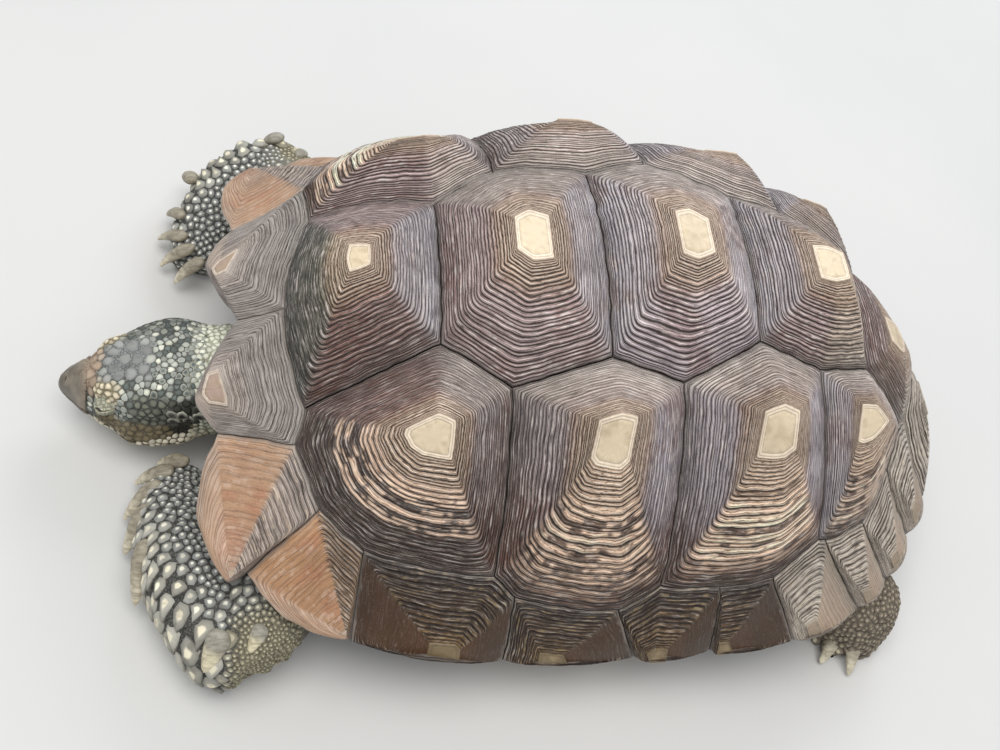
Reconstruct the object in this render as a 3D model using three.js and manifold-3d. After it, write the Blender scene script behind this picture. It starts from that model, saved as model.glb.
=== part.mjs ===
// A sulcata tortoise, life size, standing low on its four feet with the head stretched forward.
// Millimetres. +X runs from head to tail, +Y to the animal's right, +Z up, floor at Z = 0.
import * as THREE from 'three';
import { mergeVertices } from 'three/addons/utils/BufferGeometryUtils.js';
import Module from 'manifold-3d';

const wasm = await Module();
wasm.setup();

// ---------------------------------------------------------------- driving dimensions
const shellLength = 450;         // nuchal notch to the rim above the tail, measured straight
const unit = shellLength / 102.6; // the landmark tables below are in these steps of about 4.4 mm
const notchHeight = 23;          // height of the nuchal notch above the floor, in units
const gap = 0.4;                 // clear distance between neighbouring pieces
const scuteThickness = 8;        // vertebral and costal plates
const rimThickness = 5;          // free edge of the front and rear marginal plates
const bridgeLip = 13;            // underside width of the marginal plates over the bridge
const innerRise = 3;             // the inner face of a plate is domed by this much
const shellRadius = 165;         // radius that the seams bow out with
const plastronHeight = 13;       // underside of the belly plates above the floor
const plastronThickness = 8;
const eyeRadius = 6.2;
const headSide = -1.4;           // the head is carried this far to the left, in units
const farAway = 1000;            // reach of a cutting block past the body

// ---------------------------------------------------------------- shell landmarks
// Right half, in units: along the shell from the notch, out from the midline, up from the notch.
// Junctions of the vertebral row with the costal plates, front to rear.
const frontPoint = [5.6, 0, 3.1];
const vertebralSeam = [
  [8.5, 14.7, 3.0],
  [23.3, 10.8, 13.3],
  [31.3, 16.9, 14.2],
  [42.3, 14.3, 18.2],
  [50.8, 17.2, 18.4],
  [60.8, 11.5, 20.0],
  [70.0, 12.6, 16.8],
  [79.2, 9.0, 13.0],
  [88.6, 11.0, 3.2],
  [91.5, 8.5, 1.0],
];
const tailPoint = [95.0, 0, 0.2];
// Junctions of the costal plates with the marginal plates, front to rear.
const marginalSeam = [
  [7.6, 19.9, 3.1],
  [10.7, 27.0, 0.9],
  [16.0, 31.5, 0.1],
  [31.0, 34.6, 1.1],
  [34.3, 35.5, -2.4],
  [47.7, 36.0, -4.2],
  [51.4, 35.0, 1.0],
  [59.9, 34.3, -0.2],
  [67.0, 32.8, 0.1],
  [72.4, 29.0, 3.6],
  [74.6, 28.1, 1.4],
  [81.0, 25.0, 1.0],
  [86.0, 16.8, 1.7],
];
// Corners of the free rim, from the nuchal notch to the middle above the tail.
const rim = [
  [0.2, 0, -0.2],
  [-1.3, 15.8, -1.7],
  [3.2, 31.3, -7.3],
  [15.8, 38.6, -9.4],
  [34.8, 39.6, -12.0],
  [52.0, 38.8, -12.0],
  [62.0, 38.0, -11.0],
  [73.6, 36.9, -10.0],
  [83.6, 32.4, -9.0],
  [88.8, 28.3, -8.5],
  [94.0, 21.3, -8.5],
  [98.7, 14.8, -9.0],
  [102.6, 0, -9.5],
];
// The first marginal plate reaches forward to its own corner beside the notch.
const frontCorner = [-4.4, 10.0, -2.9];
const frontCornerSwell = [1.5, 2.5]; // mm that its edge bows out on each side of that corner
// How far each marginal plate swings out between its two rim corners, as a share of its chord.
const rimSwell = [0.1, 0.16, 0.14, 0.05, 0.03, 0.03, 0.04, 0.09, 0.1, 0.12, 0.12, 0.06];
// The second marginal plate ends in a point that stands out beyond the next plate's corner.
const pointedPlate = 1;
const rimPointReach = [-2.1, 2.2, -0.4];
// Centres of the raised areolae: along, out, up, in the same units.
const vertebralAreola = [
  [13.4, 0, 14.6], [33.3, 0, 21.8], [52.3, 0, 25.1], [71.7, 0, 22.4], [88.2, 0, 9.3],
];
const costalAreola = [[22.0, 23.1, 12.3], [41.8, 24.8, 16.7], [62.2, 22.4, 17.1], [77.0, 18.1, 14.2]];
const tailAreola = [100.5, 0, -4.6];
const areolaShare = 0.16;        // width of an areola as a share of its plate

const colours = {
  scute: 0x4d3f38, marginal: 0x6b5646, plastron: 0xb99e6e, skin: 0x55534c, horn: 0x6f6656, eye: 0x14110e,
};

// ---------------------------------------------------------------- helpers
const V = (x, y, z) => new THREE.Vector3(x, y, z);
const lerp = (a, b, t) => a.clone().lerp(b, t);
const centreOf = (points) => points.reduce((s, p) => s.add(p), V(0, 0, 0)).divideScalar(points.length);
// The line inside the body that the shell's outward direction is measured from, in mm.
const spineFront = 95;
const spineRear = 330;
const spineHeight = 62;

/** Landmark to a place in millimetres; side is 1 on the right and -1 on the left. */
function at(mark, side = 1) {
  return V(mark[0] * unit, side * mark[1] * unit, (mark[2] + notchHeight) * unit);
}

/** Direction that points out of the shell at a place. */
function outward(p) {
  const spineX = Math.min(Math.max(p.x, spineFront), spineRear);
  return V(p.x - spineX, p.y, p.z - spineHeight).normalize();
}

/** Mesh data from a vertex list and a triangle list. */
function geometry(points, faces) {
  const g = new THREE.BufferGeometry();
  g.setAttribute('position', new THREE.Float32BufferAttribute(points.flatMap((p) => [p.x, p.y, p.z]), 3));
  g.setIndex(faces.flat());
  return g;
}

/** Signed volume, used to see which way a closed body faces. */
function volume(g) {
  const p = g.getAttribute('position');
  const index = g.index.array;
  const corner = (i) => V(p.getX(i), p.getY(i), p.getZ(i));
  let sum = 0;
  for (let i = 0; i < index.length; i += 3) {
    sum += corner(index[i]).dot(corner(index[i + 1]).cross(corner(index[i + 2])));
  }
  return sum / 6;
}

/** Turns a closed body right side out. */
function faceOut(g) {
  if (volume(g) < 0) {
    const index = g.index.array;
    for (let i = 0; i < index.length; i += 3) [index[i], index[i + 1]] = [index[i + 1], index[i]];
  }
  return g;
}

/**
 * Solid between stacked rings of equal count, closed by a point at each end. Each four-sided face is
 * split along its shorter diagonal, so two walls that face each other are split alike.
 */
function stack(rings, firstTip, lastTip) {
  const n = rings[0].length;
  const points = rings.flat();
  const first = points.length;
  points.push(firstTip, lastTip);
  const faces = [];
  for (let i = 0; i < n; i++) {
    const j = (i + 1) % n;
    faces.push([first, j, i]);
    for (let r = 0; r + 1 < rings.length; r++) {
      const a = r * n;
      const b = a + n;
      if (points[a + i].distanceTo(points[b + j]) < points[a + j].distanceTo(points[b + i])) {
        faces.push([a + i, a + j, b + j], [a + i, b + j, b + i]);
      } else {
        faces.push([a + i, a + j, b + i], [a + j, b + j, b + i]);
      }
    }
    const last = (rings.length - 1) * n;
    faces.push([last + i, last + j, first + 1]);
  }
  return faceOut(geometry(points, faces));
}

/** Closed body to a solid that can be joined and cut. */
function solid(g) {
  const bare = g.clone();
  bare.deleteAttribute('normal');
  bare.deleteAttribute('uv');
  const merged = mergeVertices(bare, 1e-4);
  return new wasm.Manifold(new wasm.Mesh({
    numProp: 3,
    vertProperties: new Float32Array(merged.getAttribute('position').array),
    triVerts: new Uint32Array(merged.index.array),
  }));
}

/** Joined or cut solid back to mesh data. */
function fromSolid(body) {
  const m = body.getMesh();
  const g = new THREE.BufferGeometry();
  g.setAttribute('position', new THREE.BufferAttribute(new Float32Array(m.vertProperties), m.numProp));
  g.setIndex(new THREE.BufferAttribute(new Uint32Array(m.triVerts), 1));
  return g;
}

function block(x0, x1, y0, y1, z0, z1) {
  const g = new THREE.BoxGeometry(x1 - x0, y1 - y0, z1 - z0);
  g.translate((x0 + x1) / 2, (y0 + y1) / 2, (z0 + z1) / 2);
  return solid(g);
}

const tortoise = new THREE.Group();

function add(name, g, colour, roughness = 0.7) {
  const mesh = new THREE.Mesh(g, new THREE.MeshStandardMaterial({ color: colour, roughness, metalness: 0 }));
  mesh.name = name;
  tortoise.add(mesh);
  return mesh;
}

// ---------------------------------------------------------------- shell plates
// A boundary point knows its place, the way in through the plate, and the plate's depth there.
const seamPoint = (p) => ({ p, in: outward(p).negate(), depth: scuteThickness });

/** Seam from a to b without its last point, bowed out like the dome. */
function seam(a, b, steps) {
  const bow = a.distanceToSquared(b) / (8 * shellRadius);
  const points = [];
  for (let i = 0; i < steps; i++) {
    const t = i / steps;
    const p = lerp(a, b, t);
    p.addScaledVector(outward(p), bow * 4 * t * (1 - t));
    points.push(seamPoint(p));
  }
  return points;
}

// The seam junction that each rim corner's seam runs down from.
const seamAbove = [frontPoint, marginalSeam[0], marginalSeam[1], marginalSeam[2], marginalSeam[4],
  marginalSeam[5], marginalSeam[7], marginalSeam[8], marginalSeam[10], marginalSeam[11],
  marginalSeam[12], vertebralSeam[9], tailPoint];
const bridgeCorners = [4, 5, 6];
const overBridge = (k) => bridgeCorners.includes(k);
const rimDepth = (k) => (overBridge(k) ? bridgeLip : rimThickness);
const bridgeSeamBulge = 0.05;    // how far the seams between marginal plates bulge over the bridge,
const freeSeamHollow = 0.025;    // and how far they are hollow elsewhere, as shares of their length

/** Rim corner k: the plate's inward direction there, square to the rim and to the plate's own seam. */
function rimInward(k, side) {
  const before = at(rim[Math.max(k - 1, 0)], k === 0 ? -side : side);
  const after = k === rim.length - 1 ? at(rim[k - 1], -side) : at(rim[k + 1], side);
  const start = k === 0 ? at(rim[1], -side) : before;
  const along = after.sub(start);
  const across = at(rim[k], side).sub(at(seamAbove[k], side));
  const inward = along.cross(across).normalize();
  return inward.dot(outward(at(seamAbove[k], side))) > 0 ? inward.negate() : inward;
}

/** The rear end of plate k's free edge. */
function rimEnd(k, side) {
  const reach = k === pointedPlate ? rimPointReach : [0, 0, 0];
  return at(rim[k + 1].map((v, i) => v + reach[i]), side);
}

const rimPoint = (k, side) => ({ p: at(rim[k], side), in: rimInward(k, side), depth: rimDepth(k) });

/** Seam between two marginal plates, from the costal side down to rim corner k, without its last point. */
function marginSeam(k, side, steps) {
  const top = seamPoint(at(seamAbove[k], side));
  const low = rimPoint(k, side);
  const hollow = (overBridge(k) ? -bridgeSeamBulge : freeSeamHollow) * top.p.distanceTo(low.p);
  const points = [];
  for (let i = 0; i < steps; i++) {
    const t = i / steps;
    const inward = top.in.clone().lerp(low.in, t).normalize();
    const p = lerp(top.p, low.p, t).addScaledVector(inward, hollow * Math.sin(Math.PI * t));
    points.push({ p, in: inward, depth: top.depth + (low.depth - top.depth) * t });
  }
  return points;
}

/** Free edge from rim corner k to corner k + 1, swelling outward, without its last point. */
function rimEdge(k, side, steps) {
  const a = at(rim[k], side);
  const b = rimEnd(k, side);
  const inA = rimInward(k, side);
  const inB = rimInward(k + 1, side);
  const plateOut = V(b.y - a.y, a.x - b.x, 0).normalize();
  if (plateOut.dot(V(a.x - shellLength / 2, a.y, 0)) < 0) plateOut.negate();
  const swell = rimSwell[k] * a.distanceTo(b);
  const points = [];
  for (let i = 0; i < steps; i++) {
    const t = i / steps;
    const p = lerp(a, b, t).addScaledVector(plateOut, swell * Math.sin(Math.PI * t));
    const inward = inA.clone().lerp(inB, t).normalize();
    points.push({ p, in: inward, depth: rimDepth(k) * (1 - t) + rimDepth(k + 1) * t });
  }
  return points;
}

/**
 * One horny plate: outer face in rings from its seam up to the areola, side walls, and inner face.
 * grow is zero for the plate itself and positive for the larger copy that cuts room for it.
 */
function plate(boundary, areola, { swell = 4, share = areolaShare, rings = 3, grow = 0 } = {}) {
  const centre = centreOf(boundary.map((b) => b.p));
  const inward = centreOf(boundary.map((b) => b.in)).normalize();
  const inset = gap / 2 - grow;
  const outer = boundary.map((b) => {
    const toCentre = centre.clone().sub(b.p);
    toCentre.addScaledVector(b.in, -toCentre.dot(b.in)).normalize();
    return b.p.clone().addScaledVector(toCentre, inset).addScaledVector(b.in, -grow);
  });
  const inner = outer.map((p, i) => p.clone().addScaledVector(boundary[i].in, boundary[i].depth + 2 * grow));
  const tip = areola.clone().addScaledVector(inward, -grow);
  const ringsOut = [];
  for (let r = rings - 1; r >= 0; r--) {
    const t = r / (rings - 1);
    ringsOut.push(outer.map((p) => {
      const flat = p.clone().sub(centre);
      flat.addScaledVector(inward, -flat.dot(inward));
      const goal = tip.clone().addScaledVector(flat, share);
      return lerp(p, goal, t).addScaledVector(inward, -swell * 4 * t * (1 - t));
    }));
  }
  const innerCentre = centreOf(inner).addScaledVector(inward, -(innerRise - grow));
  return stack([...ringsOut, inner], tip, innerCentre);
}

/** The piece of the body's surface that lies just under a plate. */
function lining(boundary) {
  const inward = centreOf(boundary.map((b) => b.in)).normalize();
  const loop = boundary.map((b) => b.p.clone().addScaledVector(b.in, b.depth + 2 * gap));
  return { loop, middle: centreOf(loop).addScaledVector(inward, -innerRise) };
}

/** Closed boundary through junctions on the dome. */
function domeBoundary(corners, steps = 3) {
  return corners.flatMap((c, i) => seam(c, corners[(i + 1) % corners.length], steps));
}

/** The same seam walked the other way: it starts at its far end and leaves out its near one. */
const reversedSeam = (points, farEnd) => [farEnd, ...points.slice(1).reverse()];

const plates = [];

// Vertebral plates: the row along the spine.
const both = (indices) => [
  ...indices.map((i) => at(vertebralSeam[i], 1)),
  ...[...indices].reverse().map((i) => at(vertebralSeam[i], -1)),
];
const vertebralCorners = [
  [...both([0, 1]), at(frontPoint)],
  both([1, 2, 3]),
  both([3, 4, 5]),
  both([5, 6, 7]),
  [at(vertebralSeam[7]), at(vertebralSeam[8]), at(vertebralSeam[9]), at(tailPoint),
    at(vertebralSeam[9], -1), at(vertebralSeam[8], -1), at(vertebralSeam[7], -1)],
];
vertebralCorners.forEach((corners, i) => {
  plates.push({
    name: `scute_vertebral_${i + 1}`,
    boundary: domeBoundary(corners),
    areola: at(vertebralAreola[i]),
    colour: colours.scute,
  });
});

// Costal plates: four on each side.
const costalCorners = [
  [[0, 1, 2], [3, 2, 1, 0]],
  [[2, 3, 4], [6, 5, 4, 3]],
  [[4, 5, 6], [9, 8, 7, 6]],
  [[6, 7, 8], [12, 11, 10, 9]],
];
for (const [sideName, side] of [['left', -1], ['right', 1]]) {
  costalCorners.forEach(([upper, lower], i) => {
    plates.push({
      name: `scute_costal_${sideName}_${i + 1}`,
      boundary: domeBoundary([
        ...upper.map((k) => at(vertebralSeam[k], side)),
        ...lower.map((k) => at(marginalSeam[k], side)),
      ]),
      areola: at(costalAreola[i], side),
      colour: colours.scute,
    });
  });
}

// Marginal plates: eleven on each side, and the broad one above the tail.
const marginalTops = [
  [frontPoint, vertebralSeam[0], marginalSeam[0]],
  [marginalSeam[0], marginalSeam[1]],
  [marginalSeam[1], marginalSeam[2]],
  [marginalSeam[2], marginalSeam[3], marginalSeam[4]],
  [marginalSeam[4], marginalSeam[5]],
  [marginalSeam[5], marginalSeam[6], marginalSeam[7]],
  [marginalSeam[7], marginalSeam[8]],
  [marginalSeam[8], marginalSeam[9], marginalSeam[10]],
  [marginalSeam[10], marginalSeam[11]],
  [marginalSeam[11], marginalSeam[12]],
  [marginalSeam[12], vertebralSeam[8], vertebralSeam[9]],
];
// Where along its rim, and how far up from it, each marginal plate's areola lies.
const marginalAreolaAlong = [0.45, 0.86, 0.86, 0.5, 0.45, 0.4, 0.4, 0.45, 0.5, 0.5, 0.5];
const marginalAreolaUp = 0.24;
const marginalSwell = 2.2;

/** Boundary of marginal plate k (0 to 10): along the costal side, down, back along the rim, and up. */
function marginalBoundary(k, side) {
  const tops = marginalTops[k].map((m) => at(m, side));
  const upper = tops.slice(0, -1).flatMap((c, i) => seam(c, tops[i + 1], 2));
  const down = marginSeam(k + 1, side, 3);
  const edge = k === 0 ? firstMarginalEdge(side) : rimEdge(k, side, 4);
  if (k === pointedPlate) edge.push({ ...rimPoint(k + 1, side), p: rimEnd(k, side) });
  const back = reversedSeam(edge, rimPoint(k + 1, side));
  const up = reversedSeam(marginSeam(k, side, 3), rimPoint(k, side));
  return [...upper, ...down, ...back, ...up];
}

/** The first marginal plate's free edge goes round its front corner. */
function firstMarginalEdge(side) {
  const corner = { p: at(frontCorner, side), in: rimInward(1, side), depth: rimThickness };
  const start = rimPoint(0, side);
  const middle = (a, b, push) => ({
    p: lerp(a.p, b.p, 0.5).add(V(-push, 0, 0)),
    in: a.in.clone().lerp(b.in, 0.5).normalize(),
    depth: rimThickness,
  });
  const [inner, outer] = frontCornerSwell;
  return [start, middle(start, corner, inner), corner, middle(corner, rimPoint(1, side), outer)];
}

/** A marginal plate's areola: part way along the rim and a little above it. */
function marginalAreola(k, side) {
  const low = lerp(at(rim[k], side), at(rim[k + 1], side), marginalAreolaAlong[k]);
  const high = centreOf(marginalTops[k].map((m) => at(m, side)));
  const edgeIn = rimInward(k, side).lerp(rimInward(k + 1, side), 0.5).normalize();
  return lerp(low, high, marginalAreolaUp).addScaledVector(edgeIn, -marginalSwell);
}

for (const [sideName, side] of [['left', -1], ['right', 1]]) {
  marginalTops.forEach((_, k) => {
    plates.push({
      name: `scute_marginal_${sideName}_${k + 1}`,
      boundary: marginalBoundary(k, side),
      areola: marginalAreola(k, side),
      colour: colours.marginal,
      options: { swell: 1.2, rings: 2, share: 0.3 },
    });
  });
}

const tailBoundary = [
  ...seam(at(vertebralSeam[9], 1), at(tailPoint), 2),
  ...seam(at(tailPoint), at(vertebralSeam[9], -1), 2),
  ...marginSeam(11, -1, 3),
  ...rimEdge(11, -1, 3),
  ...reversedSeam(rimEdge(11, 1, 3), rimPoint(12, 1)),
  ...reversedSeam(marginSeam(11, 1, 3), rimPoint(11, 1)),
];
plates.push({
  name: 'scute_supracaudal',
  boundary: tailBoundary,
  areola: at(tailAreola),
  colour: colours.marginal,
  options: { swell: 2, rings: 2, share: 0.3 },
});

for (const p of plates) add(p.name, plate(p.boundary, p.areola, p.options), p.colour, 0.55);

// ---------------------------------------------------------------- belly plates
// Half width of the belly shield at stations along it, in units. It is widest over the bridge.
const bellyOutline = [[0.5, 5.0], [4, 9.5], [9, 15.5], [15, 18.6], [21, 20.5], [24.5, 26.5], [28, 35],
  [33, 36.6], [56, 36.6], [61, 34], [64.5, 25.5], [68, 20.2], [73, 18.2], [79, 15.2], [85, 9.6]];
const bridgeFoot = 20;           // where the belly shield starts to rise toward the bridge, in units
const bridgeSpread = 16.6;       // from there out to the bridge's edge, in units
const bridgeRise = 23.5;
const gularFork = 2.4;           // depth of the fork at the front of the belly shield
const gularForkLength = 6;       // and how far back it fades out, both in units
const analNotch = 6;             // depth of the notch at its rear
const analNotchLength = 9;
const bellyBands = [
  ['plastron_gular', 0.5, 9, 2], ['plastron_humeral', 9, 22.5, 2], ['plastron_pectoral', 22.5, 32, 3],
  ['plastron_abdominal', 32, 59, 2], ['plastron_femoral', 59, 73, 3], ['plastron_anal', 73, 85, 2],
];
const bellyColumns = 8;

function bellyHalfWidth(x) {
  const next = Math.max(bellyOutline.findIndex(([station]) => station >= x), 1);
  const [x0, w0] = bellyOutline[next - 1];
  const [x1, w1] = bellyOutline[next];
  return w0 + (w1 - w0) * (x - x0) / (x1 - x0);
}

function bellyPoint(x, u, lift) {
  const y = u * bellyHalfWidth(x);
  const across = Math.min(Math.abs(u), 1);
  const first = bellyOutline[0][0];
  const last = bellyOutline[bellyOutline.length - 1][0];
  const fork = gularFork * Math.cos(across * Math.PI / 2) * Math.max(0, 1 - (x - first) / gularForkLength);
  const notch = analNotch * Math.cos(across * Math.PI / 2) * Math.max(0, 1 - (last - x) / analNotchLength);
  const rise = bridgeRise * (Math.max(Math.abs(y) - bridgeFoot, 0) / bridgeSpread) ** 1.5;
  return V((x + fork - notch) * unit, y * unit, plastronHeight + rise + lift);
}

/** Closed slab between an underside and an upper side, each a grid of points of the same size. */
function slab(under, over) {
  const rows = under.length;
  const columns = under[0].length;
  const low = (i, j) => i * columns + j;
  const high = (i, j) => rows * columns + low(i, j);
  const faces = [];
  const quad = (a, b, c, d) => faces.push([a, b, c], [a, c, d]);
  for (let i = 0; i + 1 < rows; i++) {
    for (let j = 0; j + 1 < columns; j++) {
      quad(low(i, j), low(i, j + 1), low(i + 1, j + 1), low(i + 1, j));
      quad(high(i, j), high(i + 1, j), high(i + 1, j + 1), high(i, j + 1));
    }
    const j = columns - 1;
    quad(low(i, 0), low(i + 1, 0), high(i + 1, 0), high(i, 0));
    quad(low(i, j), high(i, j), high(i + 1, j), low(i + 1, j));
  }
  for (let j = 0; j + 1 < columns; j++) {
    const i = rows - 1;
    quad(low(0, j), high(0, j), high(0, j + 1), low(0, j + 1));
    quad(low(i, j), low(i, j + 1), high(i, j + 1), high(i, j));
  }
  return faceOut(geometry([...under.flat(), ...over.flat()], faces));
}

/** One belly band: the slab between two seams that cross the shield. */
function bellyBand(x0, x1, steps, grow = 0) {
  const clear = (gap / 2 - grow) / unit;
  const rows = Array.from({ length: steps + 1 }, (_, i) => x0 + clear + (x1 - x0 - 2 * clear) * i / steps);
  const across = Array.from({ length: bellyColumns + 1 }, (_, j) => 2 * j / bellyColumns - 1);
  const side = (lift) => rows.map((x) => across.map((u) => bellyPoint(x, u * (1 + grow / 100), lift)));
  return slab(side(-grow), side(plastronThickness + grow));
}

for (const [name, x0, x1, steps] of bellyBands) add(name, bellyBand(x0, x1, steps), colours.plastron, 0.5);

// ---------------------------------------------------------------- trunk
// The body fills the shell: its upper side is the lining of the vertebral and costal plates.
const perimeterMarks = [vertebralSeam[0], ...marginalSeam, vertebralSeam[8], vertebralSeam[9]];
const perimeterCorners = [
  at(frontPoint), ...perimeterMarks.map((m) => at(m, 1)),
  at(tailPoint), ...[...perimeterMarks].reverse().map((m) => at(m, -1)),
];
const perimeter = domeBoundary(perimeterCorners);
const trunkMiddle = V(235, 0, plastronHeight + plastronThickness + 2 * gap);
const trunkRiseStart = 4;        // the underside rises this many units inside the bridge's foot
// The body's edge and underside, as shares of the shell's footprint along and across.
const trunkEdge = [0.9, 0.84];
const trunkUnderside = [0.7, 0.58];

/** Place under a point of the upper body edge where the body rests on the belly plates. */
function onBelly(p, [shareAlong, shareAcross]) {
  const x = trunkMiddle.x + (p.x - trunkMiddle.x) * shareAlong;
  const y = p.y * shareAcross;
  const beyond = Math.max(Math.abs(y) / unit - bridgeFoot + trunkRiseStart, 0);
  const rise = bridgeRise * (beyond / bridgeSpread) ** 1.2;
  return V(x, y, trunkMiddle.z + rise);
}

function trunkGeometry() {
  const points = [];
  const faces = [];
  const fan = (loop, tip) => {
    const start = points.length;
    points.push(...loop, tip);
    loop.forEach((_, i) => faces.push([start + i, start + (i + 1) % loop.length, start + loop.length]));
  };
  for (const p of plates) {
    if (p.name.includes('marginal') || p.name.includes('supracaudal')) continue;
    const { loop, middle } = lining(p.boundary);
    const facing = middle.clone().sub(loop[0]).cross(loop[1].clone().sub(loop[0]));
    fan(facing.dot(outward(middle)) < 0 ? loop : [...loop].reverse(), middle);
  }
  const top = lining(perimeter).loop;
  const n = top.length;
  const start = points.length;
  points.push(...top);
  for (const shares of [trunkEdge, trunkUnderside]) points.push(...top.map((p) => onBelly(p, shares)));
  points.push(trunkMiddle);
  for (let i = 0; i < n; i++) {
    const j = (i + 1) % n;
    for (const a of [start, start + n]) faces.push([a + i, a + j, a + n + j], [a + i, a + n + j, a + n + i]);
    faces.push([start + 2 * n + i, start + 2 * n + j, start + 3 * n]);
  }
  return faceOut(mergeVertices(geometry(points, faces), 1e-3));
}

add('trunk', trunkGeometry(), colours.skin, 0.85);

/** Room that the limbs leave for the trunk: its side walls, a little enlarged. */
function trunkRoomSolid() {
  const level = (alongShare, acrossShare, z) => perimeterCorners.map((p) => V(
    trunkMiddle.x + (p.x - trunkMiddle.x) * alongShare, p.y * acrossShare, z ?? p.z));
  const middle = (z) => V(trunkMiddle.x, 0, z);
  return solid(stack([level(0.99, 0.99), level(0.93, 0.87, 0)], middle(160), middle(-10)));
}
const trunkRoom = trunkRoomSolid();
const plateRoom = wasm.Manifold.union([
  ...plates.filter((p) => p.name.includes('marginal') || p.name.includes('supracaudal')).map((p) => (
    solid(plate(p.boundary, p.areola, { ...p.options, grow: gap })))),
  ...bellyBands.map(([, x0, x1, steps]) => solid(bellyBand(x0, x1, steps, gap))),
]);
const underFloor = block(-farAway, farAway, -farAway, farAway, -farAway, 0);

/** The largest piece only, so that no sliver is left behind by a cut. */
const largest = (body) => body.decompose().sort((a, b) => b.volume() - a.volume())[0];

// ---------------------------------------------------------------- flesh outside the shell

/** Superellipse ring of n points round a centre, square to the direction of travel. */
function ring(centre, along, wide, tall, n, power = 2.3) {
  const sideways = V(0, 0, 1).cross(along).normalize();
  const up = along.clone().cross(sideways).normalize();
  const points = [];
  for (let i = 0; i < n; i++) {
    const a = 2 * Math.PI * i / n;
    const c = Math.sign(Math.cos(a)) * Math.abs(Math.cos(a)) ** (2 / power);
    const d = Math.sign(Math.sin(a)) * Math.abs(Math.sin(a)) ** (2 / power);
    points.push(centre.clone().addScaledVector(sideways, wide * c).addScaledVector(up, tall * d));
  }
  return points;
}

/** Limb along stations of [along, out, up, half width, half height], all in units. */
function limb(stations, side, n = 14) {
  const centres = stations.map((s) => at(s, side));
  const rings = stations.map((s, i) => {
    const along = centres[Math.min(i + 1, centres.length - 1)].clone()
      .sub(centres[Math.max(i - 1, 0)]).normalize();
    return ring(centres[i], along, s[3] * unit, s[4] * unit, n);
  });
  return solid(stack(rings, centres[0], centres[centres.length - 1]));
}

/** Upright foot: rings [along, out, up, half length, half breadth] level with the floor. */
function column(stations, side, n = 14) {
  const centres = stations.map((s) => at(s, side));
  const rings = stations.map((s, i) => {
    const points = [];
    for (let k = 0; k < n; k++) {
      const a = 2 * Math.PI * k / n;
      points.push(centres[i].clone().add(V(Math.cos(a) * s[3] * unit, Math.sin(a) * s[4] * unit, 0)));
    }
    return points;
  });
  return solid(stack(rings, centres[0], centres[centres.length - 1]));
}

/** A thick blunt claw from its root to its tip. */
function claw(root, tip, radius, side) {
  const a = at(root, side);
  const b = at(tip, side);
  const along = b.clone().sub(a).normalize();
  const middle = lerp(a, b, 0.6).add(V(0, 0, radius * 0.3));
  return solid(stack([
    ring(a, along, radius, radius * 0.8, 6, 2),
    ring(middle, along, radius * 0.8, radius * 0.6, 6, 2),
  ], a, b));
}

/** Joins the parts of a limb, stands it on the floor, and clears the trunk and the shell. */
function fitted(parts) {
  return wasm.Manifold.union(parts).subtract(underFloor).subtract(trunkRoom).subtract(plateRoom);
}

// The left forefoot reaches inward under the chin; the right one is set down wider and further back.
const leftForeleg = {
  upper: [[19, 14, -12.5, 7.0, 6.4], [11, 25.5, -13.6, 6.6, 6.0], [4.6, 34.5, -15.6, 6.0, 5.6],
    [2.4, 37.6, -16.2, 4.6, 4.6]],
  lower: [[5.0, 39.0, -16.8, 3.6, 4.4], [2.4, 37.0, -16.6, 5.6, 5.8], [-1.2, 31.5, -16.8, 6.0, 6.0],
    [-3.8, 26.0, -17.4, 5.8, 5.8], [-5.0, 21.0, -18.6, 5.5, 5.0], [-5.4, 16.0, -19.9, 5.1, 4.0],
    [-5.4, 11.2, -20.9, 3.8, 2.8]],
  claws: [[[-6.6, 10.6, -21.0], [-7.6, 7.8, -22.3]], [[-8.2, 12.6, -21.0], [-10.7, 11.0, -22.4]],
    [[-9.0, 15.9, -21.0], [-12.0, 15.4, -22.4]], [[-9.2, 19.4, -20.9], [-11.8, 20.2, -22.4]],
    [[-8.7, 22.9, -20.8], [-10.3, 25.0, -22.4]]],
  clawRadius: 5.2,
};
const rightForeleg = {
  upper: [[19, 14, -12.5, 7.0, 6.4], [12.5, 25.5, -13.6, 6.6, 6.0], [7.6, 36.5, -15.6, 6.0, 5.6],
    [6.0, 40.6, -16.0, 4.6, 4.6]],
  lower: [[8.4, 42.0, -16.4, 3.6, 4.4], [6.0, 40.4, -16.2, 5.6, 5.8], [2.4, 37.6, -16.5, 6.0, 6.0],
    [-1.2, 34.4, -17.3, 5.8, 5.8], [-3.6, 30.8, -18.5, 5.5, 5.0], [-5.0, 26.8, -19.9, 5.0, 4.0],
    [-5.4, 22.6, -20.9, 3.8, 2.8]],
  claws: [[[-6.8, 21.6, -21.0], [-7.8, 18.9, -22.3]], [[-8.1, 23.9, -21.0], [-10.2, 22.0, -22.4]],
    [[-8.7, 27.0, -21.0], [-11.2, 26.6, -22.4]], [[-8.4, 30.3, -20.9], [-10.6, 31.2, -22.4]],
    [[-7.4, 33.2, -20.8], [-8.8, 35.4, -22.4]]],
  clawRadius: 5.2,
};
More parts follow.
